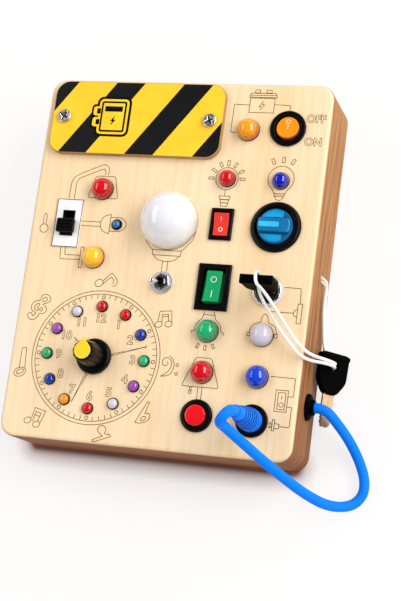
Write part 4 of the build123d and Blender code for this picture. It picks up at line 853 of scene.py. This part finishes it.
def add_clock_knob():
    place = at(CLOCK_X, CLOCK_Y)
    skirt = rounded([(5.2, 4.2), (5.2, 1.2), (11.6, 1.2), (11.6, 3.8), (10.2, 5.2), (8, 5.2)], 0.8)
    lathe("clock_knob_skirt", "clock_knob", BLACK, place, skirt, 96, node="clock_knob")
    barrel = [(8.2, 5), (8.2, 5.8), (7.95, 9), (7.6, 13), (7.2, 17.5), (6.85, 22), (6.5, 22.8),
              (5.8, 23), (0.1, 23)]
    lathe("clock_knob_barrel", "clock_knob", BLACK, place, barrel, 240, fluted, 30, "clock_knob")
    cap = arc(0, 0, 5.4, 133, 407, 28) + [(0.25, 7.9), (-0.25, 7.9)]
    plate("clock_knob_cap", "clock_knob", CAP_YELLOW, place, [cap], 22.9, 23.8, 0.25, node="clock_pointer")
    stripe = [(8, 5.3), (8.45, 5.3), (7, 22.6), (6.6, 23), (6.4, 22.6)]
    prism("clock_knob_stripe", "clock_knob", CAP_YELLOW, place, stripe, 0.75, 0.15, "clock_pointer")
    spindle = [(3, -14), (3, 15.8), (2.6, 16.1)]
    lathe("clock_spindle", "clock_knob", CHROME, place, spindle, 40, node="clock_shaft")


# ---------- rocker switches ----------
PIVOT = FACE - 1.0
ROCKER_TILT = 8.0
ROCKER_TOP = 2.6                 # lowest line of a rocker's top over its pivot
MARK_LIFT = 0.04
RED_LENGTH, GREEN_LENGTH, AMBER_LENGTH = 14.6, 20.6, 15.0


def hollow(share):
    """How far a rocker's top rises at a share of the way to its end."""
    return 0.85 * abs(share) ** 1.6


def rocker_outline(length):
    """Side of a rocker in its own YZ plane: a hollowed top and drum ends."""
    half, steps = length / 2, 10
    top = [(half - length * k / steps, ROCKER_TOP + hollow(1 - 2 * k / steps)) for k in range(steps + 1)]
    return top + [(-half - 0.35, 1.0), (-half - 0.4, -1.5), (-half, -4.0), (half, -4.0), (half + 0.4, -1.5),
                  (half + 0.35, 1.0)]


def add_marks(body, place, length, strokes, width=0.4):
    """White marks that follow a rocker's hollowed top."""
    piece = ribbons(body + "_marks", body, MARK_WHITE, place, strokes, width)
    back = place.inverted()
    for vertex in piece.data.vertices:
        x, y, _ = back @ (vertex.co / MM)
        height = ROCKER_TOP + hollow(2 * y / length) + MARK_LIFT
        vertex.co = (place @ Vector((x, y, height))) * MM
    piece.data.update()


def dished(x, y, z):
    """The round rocker's top is hollowed across its pivot."""
    return x, y, z + (hollow(2 * y / AMBER_LENGTH) if z > 1 else 0)


def add_rockers():
    place = at(*RED_SWITCH, PIVOT) @ turn("X", ROCKER_TILT)
    prism("red_rocker_cap", "red_rocker", RED_ROCKER, place, rocker_outline(RED_LENGTH), 4.9, 0.35,
          "red_rocker")
    add_marks("red_rocker", place, RED_LENGTH, [([(0, 2.2), (0, 5)], False), ring(0, -3.2, 1.25)])
    place = at(*GREEN_SWITCH, PIVOT) @ turn("X", -ROCKER_TILT)
    prism("green_rocker_cap", "green_rocker", GREEN_ROCKER, place, rocker_outline(GREEN_LENGTH), 5.1, 0.35,
          "green_rocker")
    flank = [(9.9, 1), (-9.9, 1), (-10.5, -1.5), (-10.2, -4), (10.2, -4), (10.5, -1.5)]
    prism("green_rocker_flank", "green_rocker", GREEN_DEEP, place, flank, 6.8, 0.5, "green_rocker")
    add_marks("green_rocker", place, GREEN_LENGTH, [([(0, -7.6), (0, -2.8)], False), ring(0, 4.6, 1.8)], 0.45)
    place = at(*AMBER, PIVOT) @ turn("X", -ROCKER_TILT)
    cap = [(6.7, -4), (7.5, 0), (7.5, 1.9), (7.2, 2.55), (6.6, 2.6), (5, 2.6), (3, 2.6), (0.1, 2.6)]
    lathe("amber_rocker_cap", "amber_rocker", AMBER_GLOSS, place, cap, 64, dished, node="amber_rocker")
    add_marks("amber_rocker", place, AMBER_LENGTH, [ring(0, 4.1, 1.25), ([(0, -1), (0, 2)], False)])
    bezel = rounded([(9.9, -21), (9.9, -0.05), (11.8, 0), (11.8, 1.4), (11.2, 2), (8.9, 2), (8.5, 1.6),
                     (8.5, -6.8), (0.1, -6.8)], 0.35)
    lathe("amber_bezel", "board", BLACK, at(*AMBER), bezel, 72, node="amber_switch_housing")


# ---------- slide switch ----------
def add_slide_part(name, y, width, length, corner, low, high, edge):
    plate(name, "slide_knob", BLACK, at(SLIDE_X, y, 0), [rectangle(width, length, corner)], low, high, edge,
          node="slide_knob")


def add_slide_switch():
    top = FACE + 1.0
    head_y = SLIDE_Y - 2.45
    place = at(SLIDE_X, SLIDE_Y, top + LINE_LIFT)
    ribbons("slide_plate_line", "board", BLACK, place, [(rectangle(17.6, 31.9), True)])
    add_slide_part("slide_neck", SLIDE_Y - 4.05, 8.4, 8.7, 0.4, FACE - 1.2, top + 1.3, 0.3)
    add_slide_part("slide_head", head_y, 12.0, 9.2, 0.8, top + 1.2, top + 4.6, 0.6)
    for k in range(4):
        add_slide_part(f"slide_rib_{k}", head_y - 3.0 + 2.0 * k, 10.4, 1.1, 0.3, top + 4.4, top + 5.5, 0.3)


# ---------- blue rotary switch ----------
def knurled(x, y, z):
    radius = math.hypot(x, y)
    if radius < 11.0:
        return x, y, z
    shrink = 1 - 0.012 * (1 + math.cos(60 * math.atan2(y, x)))
    return x * shrink, y * shrink, z


def notch(degrees):
    """A short line towards the middle, close to the crescent's edge."""
    angle = math.radians(degrees)
    return [(r * math.cos(angle), r * math.sin(angle)) for r in (8.6, 10.2)], False


def add_rotary_switch():
    place = at(*ROTARY)
    bezel = rounded([(14, -24), (14, -0.05), (16.5, 0), (16.5, 1), (15.2, 2.6), (13.4, 3),
                     (12.6, 2.7), (12.4, 0.2), (3.1, 0.2)], 0.5)
    lathe("rotary_bezel", "board", BLACK, place, bezel, 96, node="rotary_housing")
    disc = rounded([(3, -14.8), (3, 0.3), (11.6, 0.3), (11.5, 3.1), (10.9, 3.7), (8.6, 3.4), (8.4, 3.1),
                    (0.1, 3.1)], 0.25)
    # The disc is painted a deep blue as shade.
    lathe("rotary_disc", "rotary_knob", ROTARY_SHADE_BLUE, place, disc, 240, knurled, 40, "rotary_knob")
    # The cyan crescents on the disc are painted light.
    for side, way in (("upper", 1), ("lower", -1)):
        crescent = [(x, way * y) for x, y in arc(0, 0, 10.3, 62, 148, 16) + [(4.84, 5.46)]][::way]
        plate("rotary_crescent_" + side, "rotary_knob", ROTARY_LIT_CYAN, place, [crescent], 3.0, 3.9, 0.2,
              node="rotary_knob")
        # Dark notch lines on the crescents: painted shade of the knurl's grooves.
        ribbons("rotary_notches_" + side, "rotary_knob", ROTARY_SHADE_BLUE, place @ at(0, 0, 3.93),
                [notch(way * a) for a in range(66, 152, 6)], 0.25, "rotary_knob")
    half, reach = 4.3, 10.6
    end = math.degrees(math.atan2(half, math.sqrt(reach ** 2 - half ** 2)))
    grip = arc(0, 0, reach, -end, end, 12) + arc(0, 0, reach, 180 - end, 180 + end, 12)
    plate("rotary_grip", "rotary_knob", ROTARY_GRIP, place, [grip], 2.8, 7.3, 0.9, node="rotary_knob")
    bar = rectangle(13.2, 3.6, 1.0, -3.0, 0)
    plate("rotary_bar", "rotary_knob", ROTARY_PALE, place, [bar], 7.1, 7.9, 0.3, node="rotary_pointer")


# ---------- toggle switch ----------
TOGGLE_TURN = 41                 # degrees, of the whole switch in the panel
TOGGLE_LEAN = -13                # of the lever at rest


def add_toggle():
    place = at(*TOGGLE)
    washer = [arc(0, 0, 7.4, steps=64), arc(0, 0, 3.3, steps=32)]
    plate("toggle_washer_ring", "board", NICKEL, place, washer, 0.0, 0.8, 0.15, node="toggle_washer")
    corners = arc(0, 0, 10.6 / 2 / math.cos(math.pi / 6), 42, 402, 6)
    nut = [rounded(corners, 0.5, 3, True), arc(0, 0, 3.1, steps=32)]
    plate("toggle_hex_nut", "board", CHROME, place, nut, 0.8, 3.4, 0.7, node="toggle_nut")
    bushing = [(3.1, -6)]
    for k in range(5):
        bushing += [(3.1, 3.2 + 0.4 * k), (2.85, 3.4 + 0.4 * k)]
    bushing += [(2.9, 5.2), (2.4, 5.2), (2.2, 1.5), (0.1, 1.5)]
    lathe("toggle_bushing", "board", DARK_STEEL, place, bushing, 48, node="toggle_housing")
    case = rectangle(13, 8, 0.6)
    plate("toggle_case", "board", BLACK, place @ turn("Z", TOGGLE_TURN), [case], -17.0, -6.05,
          node="toggle_housing")
    lever = rounded([(1.2, -1), (2, 0), (1.3, 2.2), (1.3, 4), (1.8, 13), (1.5, 14.3),
                     (0.1, 14.5)], 0.7)
    lever_place = at(*TOGGLE, FACE + 1.2) @ turn("Z", TOGGLE_TURN) @ turn("Y", TOGGLE_LEAN)
    lathe("toggle_bat", "toggle_lever", CHROME, lever_place, lever, 40, node="toggle_lever")


# ---------- key switch ----------
KEY_STAND_OFF = 3.5              # from the lock's face to the bow
KEY_EYE = 18.5                   # from the bow's foot to its eye


def add_key(name, body, place, bow_node, blade_node):
    """A moulded bow on a steel blade, standing along place's Z."""
    corners = [(-4.3, 0), (4.3, 0), (10.3, 9), (10.3, 27), (-10.3, 27), (-10.3, 9)]
    bow = [rounded(corners, 3.2, 6, True), arc(0, KEY_EYE, 2.4)]
    lip = rectangle(21.0, 3.2, 0.8, 0, 24.6)
    blade = [(-4, 6), (-4, -9), (-3.1, -10), (-3.6, -11), (-2.9, -12.2), (-3.4, -13.4), (-2, -17), (2, -17),
             (3.8, -15), (4, 6)]
    groove = rectangle(1.2, 15, 0.4, 0.6, -5)
    stand = place @ at(0, 0, KEY_STAND_OFF) @ turn("X", 90)
    foot = place @ turn("X", 90)
    return [
        plate(name + "_cover", body, BLACK_SATIN, stand, bow, -2.5, 2.5, 0.9, node=bow_node),
        plate(name + "_lip", body, BLACK_SATIN, stand, [lip], -2.9, 2.9, 0.6, node=bow_node),
        plate(name + "_steel", body, BRASS, foot, [blade], -1.0, 1.0, 0.2, node=blade_node),
        plate(name + "_groove", body, BRASS, foot, [groove], -1.15, 1.15, 0.2, node=blade_node),
    ]


def add_lock():
    place = at(*KEY)
    flange = rounded([(9.2, -20), (9.2, -0.05), (10.3, 0), (10.3, 1.1), (9.4, 2.2), (8.7, 3), (7.9, 3),
                      (7.3, 2.4), (7.3, -17.9), (0.1, -17.9)], 0.3)
    lathe("lock_flange", "board", CHROME, place, flange, 96, node="lock_housing")
    face = [arc(0, 0, 7.2, steps=64), rectangle(8.4, 2.4)]
    plate("lock_face", "lock_rotor", DARK_STEEL, place, face, -2.0, 2.1, 0.25, node="lock_rotor")
    lathe("lock_barrel", "lock_rotor", BLACK_SATIN, place, [(7.1, -17.6), (7.1, -2)], node="lock_rotor")
    add_key("lock_key", "lock_key", at(*KEY, FACE + 2.1), "key_bow", "key_blade")


def add_loose_key():
    """It leans on the case with its lower edge on the floor."""
    eye = at(107.547, -53, 9.398)
    lying = turn("Y", 42) @ turn("Z", -3) @ turn("X", -90)
    place = eye @ lying @ at(0, 0, -KEY_EYE - KEY_STAND_OFF)
    return add_key("loose_key", "board", place, "loose_key_bow", "loose_key_blade")


# ---------- push button ----------
def add_button():
    bezel = rounded([(8, -20), (8, -0.05), (10.4, 0), (10.4, 0.9), (9.4, 2.1), (7.9, 2.4), (7.1, 2.2),
                     (7, -5.2), (0.1, -5.2)], 0.5)
    lathe("button_bezel", "board", BLACK, at(*BUTTON), bezel, 96, node="button_housing")
    cap = rounded([(6.7, -2.7), (6.7, 3.6), (6.2, 4.4), (5, 4.6), (2.5, 4.7), (0.1, 4.72)], 0.4)
    lathe("button_top", "push_button", BUTTON_RED, at(*BUTTON), cap, 72, node="button_cap")


# ---------- plug and socket ----------
RIBS = 6
RIB_PITCH = 3.2
FIRST_RIB = 11.8                 # height of the lowest groove over the face


def plug_profile():
    """Plug body from the socket up: a plain root, ribs that taper, and the strain relief."""
    profile = [(6.9, 2.4), (7.3, 2.8), (7.3, 8.6), (7.2, FIRST_RIB - 0.2)]
    for k in range(RIBS):
        z = FIRST_RIB + RIB_PITCH * k
        radius = 7.1 - 0.40 * k
        profile += [(radius - 1.2, z), (radius - 1.2, z + 0.7), (radius, z + 0.95),
                    (radius - 0.1, z + RIB_PITCH - 0.2)]
    return profile + [(4.4, 31.2), (4.1, 39.6), (3.6, 40.4)]


def darken_grooves(handle):
    """The grooves between the ribs lie in shade."""
    handle.data.materials.append(BLUE_GROOVE)
    for face in handle.data.polygons:
        height = face.center.z / MM - FACE - FIRST_RIB + 0.25
        if 0 < height < RIBS * RIB_PITCH + 0.5 and height % RIB_PITCH < 1.0:
            face.material_index = 1


def add_plug():
    place = at(*SOCKET)
    socket = rounded([(7.6, -20), (7.6, -0.05), (10.3, 0), (10.3, 1.3), (9.7, 2), (4.2, 2), (3.2, 1.4),
                      (3.2, -11.9), (0.1, -11.9)], 0.35)
    lathe("socket_bezel", "board", BLACK, place, socket, 96, node="socket_housing")
    body = rounded(plug_profile(), 0.15, 2)
    handle = lathe("plug_body", "plug", BLUE_RUBBER, place, body, 72, node="plug_handle")
    darken_grooves(handle)
    jack = rounded([(1.6, -11), (2.6, -9.6), (2, -8.4), (3.1, -7.4), (3.1, 2.4)], 0.3)
    pin = lathe("plug_jack", "plug", CHROME, place, jack, 40, node="plug_pin")
    nose = rounded([(6, -12), (6, -0.02), (8.6, 0), (8.4, 1.4), (7.4, 2.6), (5.4, 2.6), (4.9, 5),
                    (3.6, 5)], 0.4)
    gland = lathe("cord_gland", "board", BLACK_SATIN, at(*GLAND) @ turn("Y", 90), nose, node="cable_gland")
    return [handle, pin, gland]


# ---------- screws ----------
def cross_screw(name, place, radius, height, node=None):
    """A screw head with a cross recess, on a short shank."""
    arm = [(0.5, -0.5), (radius * 0.62, -0.36), (radius * 0.62, 0.36)]
    cross = [point for quarter in range(4) for point in turned(arm, 0, 0, 90 * quarter)]
    plate(name + "_rim", "board", ZINC, place, [arc(0, 0, radius, steps=40), cross], 0.0, height,
          min(0.9, 0.45 * height), 70, node)
    # The dark shank shows in the cross recess as painted shade.
    shank = [(1.9, -3.9), (1.9, -0.1), (radius * 0.7, 0.05)]
    lathe(name + "_core", "board", SCREW_DARK, place, shank, 32, node=node)


def add_screws():
    for side in (-1, 1):
        place = at(-32.5 + 50.5 * side, 93.4, FACE + COVER_THICKNESS) @ turn("Z", 25 * side)
        cross_screw(f"cover_screw_{side + 2}", place, 4.7, 2.0, "cover_screws")
    for index, (x, y) in enumerate(((-86, -110), (86, -110), (86, 110), (-86, 110), (0, -110), (0, 110))):
        cross_screw(f"back_screw_{index}", at(x, y, 0.3) @ turn("X", 180), 2.6, 0.4)


# ---------- cord and string ----------
PATH_STEP = 0.5                  # least distance between points of a path that is measured


def tube(name, route, radius, material):
    """A tube along the route's spline, and the points that it follows."""
    curve = bpy.data.curves.new(name, "CURVE")
    curve.dimensions = "3D"
    curve.resolution_u = 12
    curve.bevel_depth = radius * MM
    curve.bevel_resolution = 6
    curve.use_fill_caps = True
    spline = curve.splines.new("NURBS")
    spline.points.add(len(route) - 1)
    for point, place in zip(spline.points, route):
        point.co = (*(Vector(place) * MM), 1.0)
    spline.order_u = 3
    spline.use_endpoint_u = True
    mesh = smoothed(mesh_of(curve), material, 60)
    curve.bevel_depth = 0.0
    line = [vertex.co for vertex in mesh_of(curve).vertices]
    path = [line[0]]
    for point in line:
        if (point - path[-1]).length > PATH_STEP * MM:
            path.append(point)
    return linked(name, mesh), [tuple(point) for point in path]


def lifted_with(piece):
    """Bakes the piece's place into its mesh."""
    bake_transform(piece)


def add_cords(plug_pieces, key_pieces):
    cord, path = tube("blue_cord_tube", CORD_ROUTE, CORD_RADIUS, BLUE_RUBBER)
    lifted_with(cord)
    stands_for("blue_cord")
    string, path = tube("key_string_cord", STRING_ROUTE, STRING_RADIUS, STRING)
    lifted_with(string)
    stands_for("key_string")


# ---------- stage ----------
FLOOR_HALF = 4.0                 # metres
FLOOR_COLOUR = (0.96, 0.87, 0.85)
FLOOR_WHITE = 0.8                # share of the floor that is plain white to the camera
CONTACT_SHADE = (0.20, 0.10, 0.08)   # painted shadow where the board's lower edge meets the floor
CONTACT_MIDDLE = (0.66, 0.55, 0.53)   # painted shadow, a little further out
SHADOW_REACH = 0.04              # metres over which the floor's white comes back
EDGE_HALF = 0.088                # the line along the board's lower edge, in metres
EDGE_Y = 0.119


def seen_directly(tree):
    """One for what is seen directly, in a mirror or through glass, and nought for what lights the board."""
    path = tree.nodes.new("ShaderNodeLightPath")
    either = calc(tree, "MAXIMUM", path.outputs["Is Camera Ray"], path.outputs["Is Glossy Ray"])
    return calc(tree, "MAXIMUM", either, path.outputs["Is Transmission Ray"])


def mix_shaders(tree, share, first, second, output):
    both = tree.nodes.new("ShaderNodeMixShader")
    for socket, value in zip(both.inputs, (share, first.outputs[0], second.outputs[0])):
        tree.links.new(value, socket)
    tree.links.new(both.outputs[0], tree.nodes[output].inputs["Surface"])


def away_from_edge(tree):
    """Distance from the board's lower edge, in shares of the shadow's reach."""
    place = separate(tree, coordinates(tree))
    beside = calc(tree, "SUBTRACT", calc(tree, "ABSOLUTE", place["X"]), EDGE_HALF)
    beside = calc(tree, "MAXIMUM", beside, 0.0)
    below = calc(tree, "ADD", place["Y"], EDGE_Y)
    squares = calc(tree, "ADD", calc(tree, "MULTIPLY", beside, beside), calc(tree, "MULTIPLY", below, below))
    return calc(tree, "DIVIDE", calc(tree, "SQRT", squares), SHADOW_REACH)


def floor_material():
    """White to the camera, but shaded close to the board's lower edge, where a shadow is painted into its
    colour.
    """
    material, tree, shader = new_material("floor_white")
    set_values(shader, Roughness=0.95, Specular_IOR_Level=0.0)
    away = away_from_edge(tree)
    # Painted shadow in the floor's colour along the board's lower edge.
    contact = ramp(tree, away, [(0.0, CONTACT_SHADE), (0.09, CONTACT_SHADE), (0.2, CONTACT_MIDDLE),
                                (0.42, FLOOR_COLOUR)])
    tree.links.new(contact, shader.inputs["Base Color"])
    keep = ramp(tree, away, [(0.0, (0, 0, 0)), (0.1, (0, 0, 0)), (0.45, (0.78, 0.78, 0.78)), (1.0, UNTINTED)])
    share = calc(tree, "MULTIPLY", seen_directly(tree), FLOOR_WHITE)
    share = calc(tree, "MULTIPLY", share, keep)
    mix_shaders(tree, share, shader, tree.nodes.new("ShaderNodeEmission"), "Material Output")
    return material


def add_floor():
    mesh = bpy.data.meshes.new("floor")
    corners = [(x * FLOOR_HALF, y * FLOOR_HALF, 0) for x, y in ((-1, -1), (1, -1), (1, 1), (-1, 1))]
    mesh.from_pydata(corners, [], [(0, 1, 2, 3)])
    mesh.materials.append(floor_material())
    linked("floor", mesh)


def set_view(thing, place, right, up, back):
    """Puts a lamp or camera at a place in metres, by its three axes."""
    thing.matrix_world = Matrix.Translation(place) @ Matrix((right, up, back)).transposed().to_4x4()


def add_lamp(name, place, size, power):
    """A soft window that looks at the board, its long side along the board's height."""
    data = bpy.data.lights.new(name, "AREA")
    data.shape = "RECTANGLE"
    data.size, data.size_y = size
    data.energy = power
    back = Vector(place).normalized()
    side = Vector((0, 1, 0)).cross(back).normalized()
    set_view(linked(name, data), place, side, back.cross(side), back)


WALLS_END = 0.2                  # height, of 1 overhead, up to which the surroundings are white
CEILING_START = 0.26
CEILING = (0.09, 0.09, 0.095)    # darker overhead, so that gloss keeps its contrast


def add_lights():
    """Two tall soft windows in a room with white walls."""
    add_lamp("right_window", (1.34, 0.50, 1.08), (0.72, 2.1), 31)
    add_lamp("left_window", (-1.23, 0.31, 1.27), (0.60, 1.9), 9)
    world = bpy.data.worlds.new("studio")
    bpy.context.scene.world = world
    world.use_nodes = True
    tree = world.node_tree
    dim = tree.nodes["Background"]
    set_values(dim, Color=(1.0, 0.99, 0.98, 1.0), Strength=0.58)
    room = tree.nodes.new("ShaderNodeBackground")
    height = separate(tree, coordinates(tree, "Generated"))["Z"]
    walls = ramp(tree, height, [(0.0, UNTINTED), (WALLS_END, UNTINTED), (CEILING_START, CEILING)])
    tree.links.new(walls, room.inputs["Color"])
    mix_shaders(tree, seen_directly(tree), dim, room, "World Output")


def add_camera():
    data = bpy.data.cameras.new("camera")
    data.lens = CAMERA_LENS
    data.sensor_fit = "AUTO"
    data.sensor_width = 36.0
    data.clip_start = 0.01
    camera = linked("camera", data)
    right, up = Vector(CAMERA_RIGHT).normalized(), Vector(CAMERA_UP).normalized()
    back = right.cross(up).normalized()
    set_view(camera, Vector(CAMERA_PLACE) * MM, right, back.cross(right), back)
    bpy.context.scene.camera = camera


for build in (dress_frame, soften_housings, draw_dial, draw_notes, draw_supply, draw_small_lamps,
              draw_globe_lamp, draw_desk_lamp, draw_blue_light, draw_yellow_lamp, draw_pendants,
              draw_lock_wire, draw_low_lamps, add_cover_sign, add_lenses, add_clock_lights,
              add_clock_knob, add_rockers, add_slide_switch, add_rotary_switch, add_toggle, add_lock,
              add_button, add_screws):
    build()
add_cords(add_plug(), add_loose_key())
add_floor()
add_lights()
add_camera()
bpy.context.scene.view_settings.view_transform = "Standard"
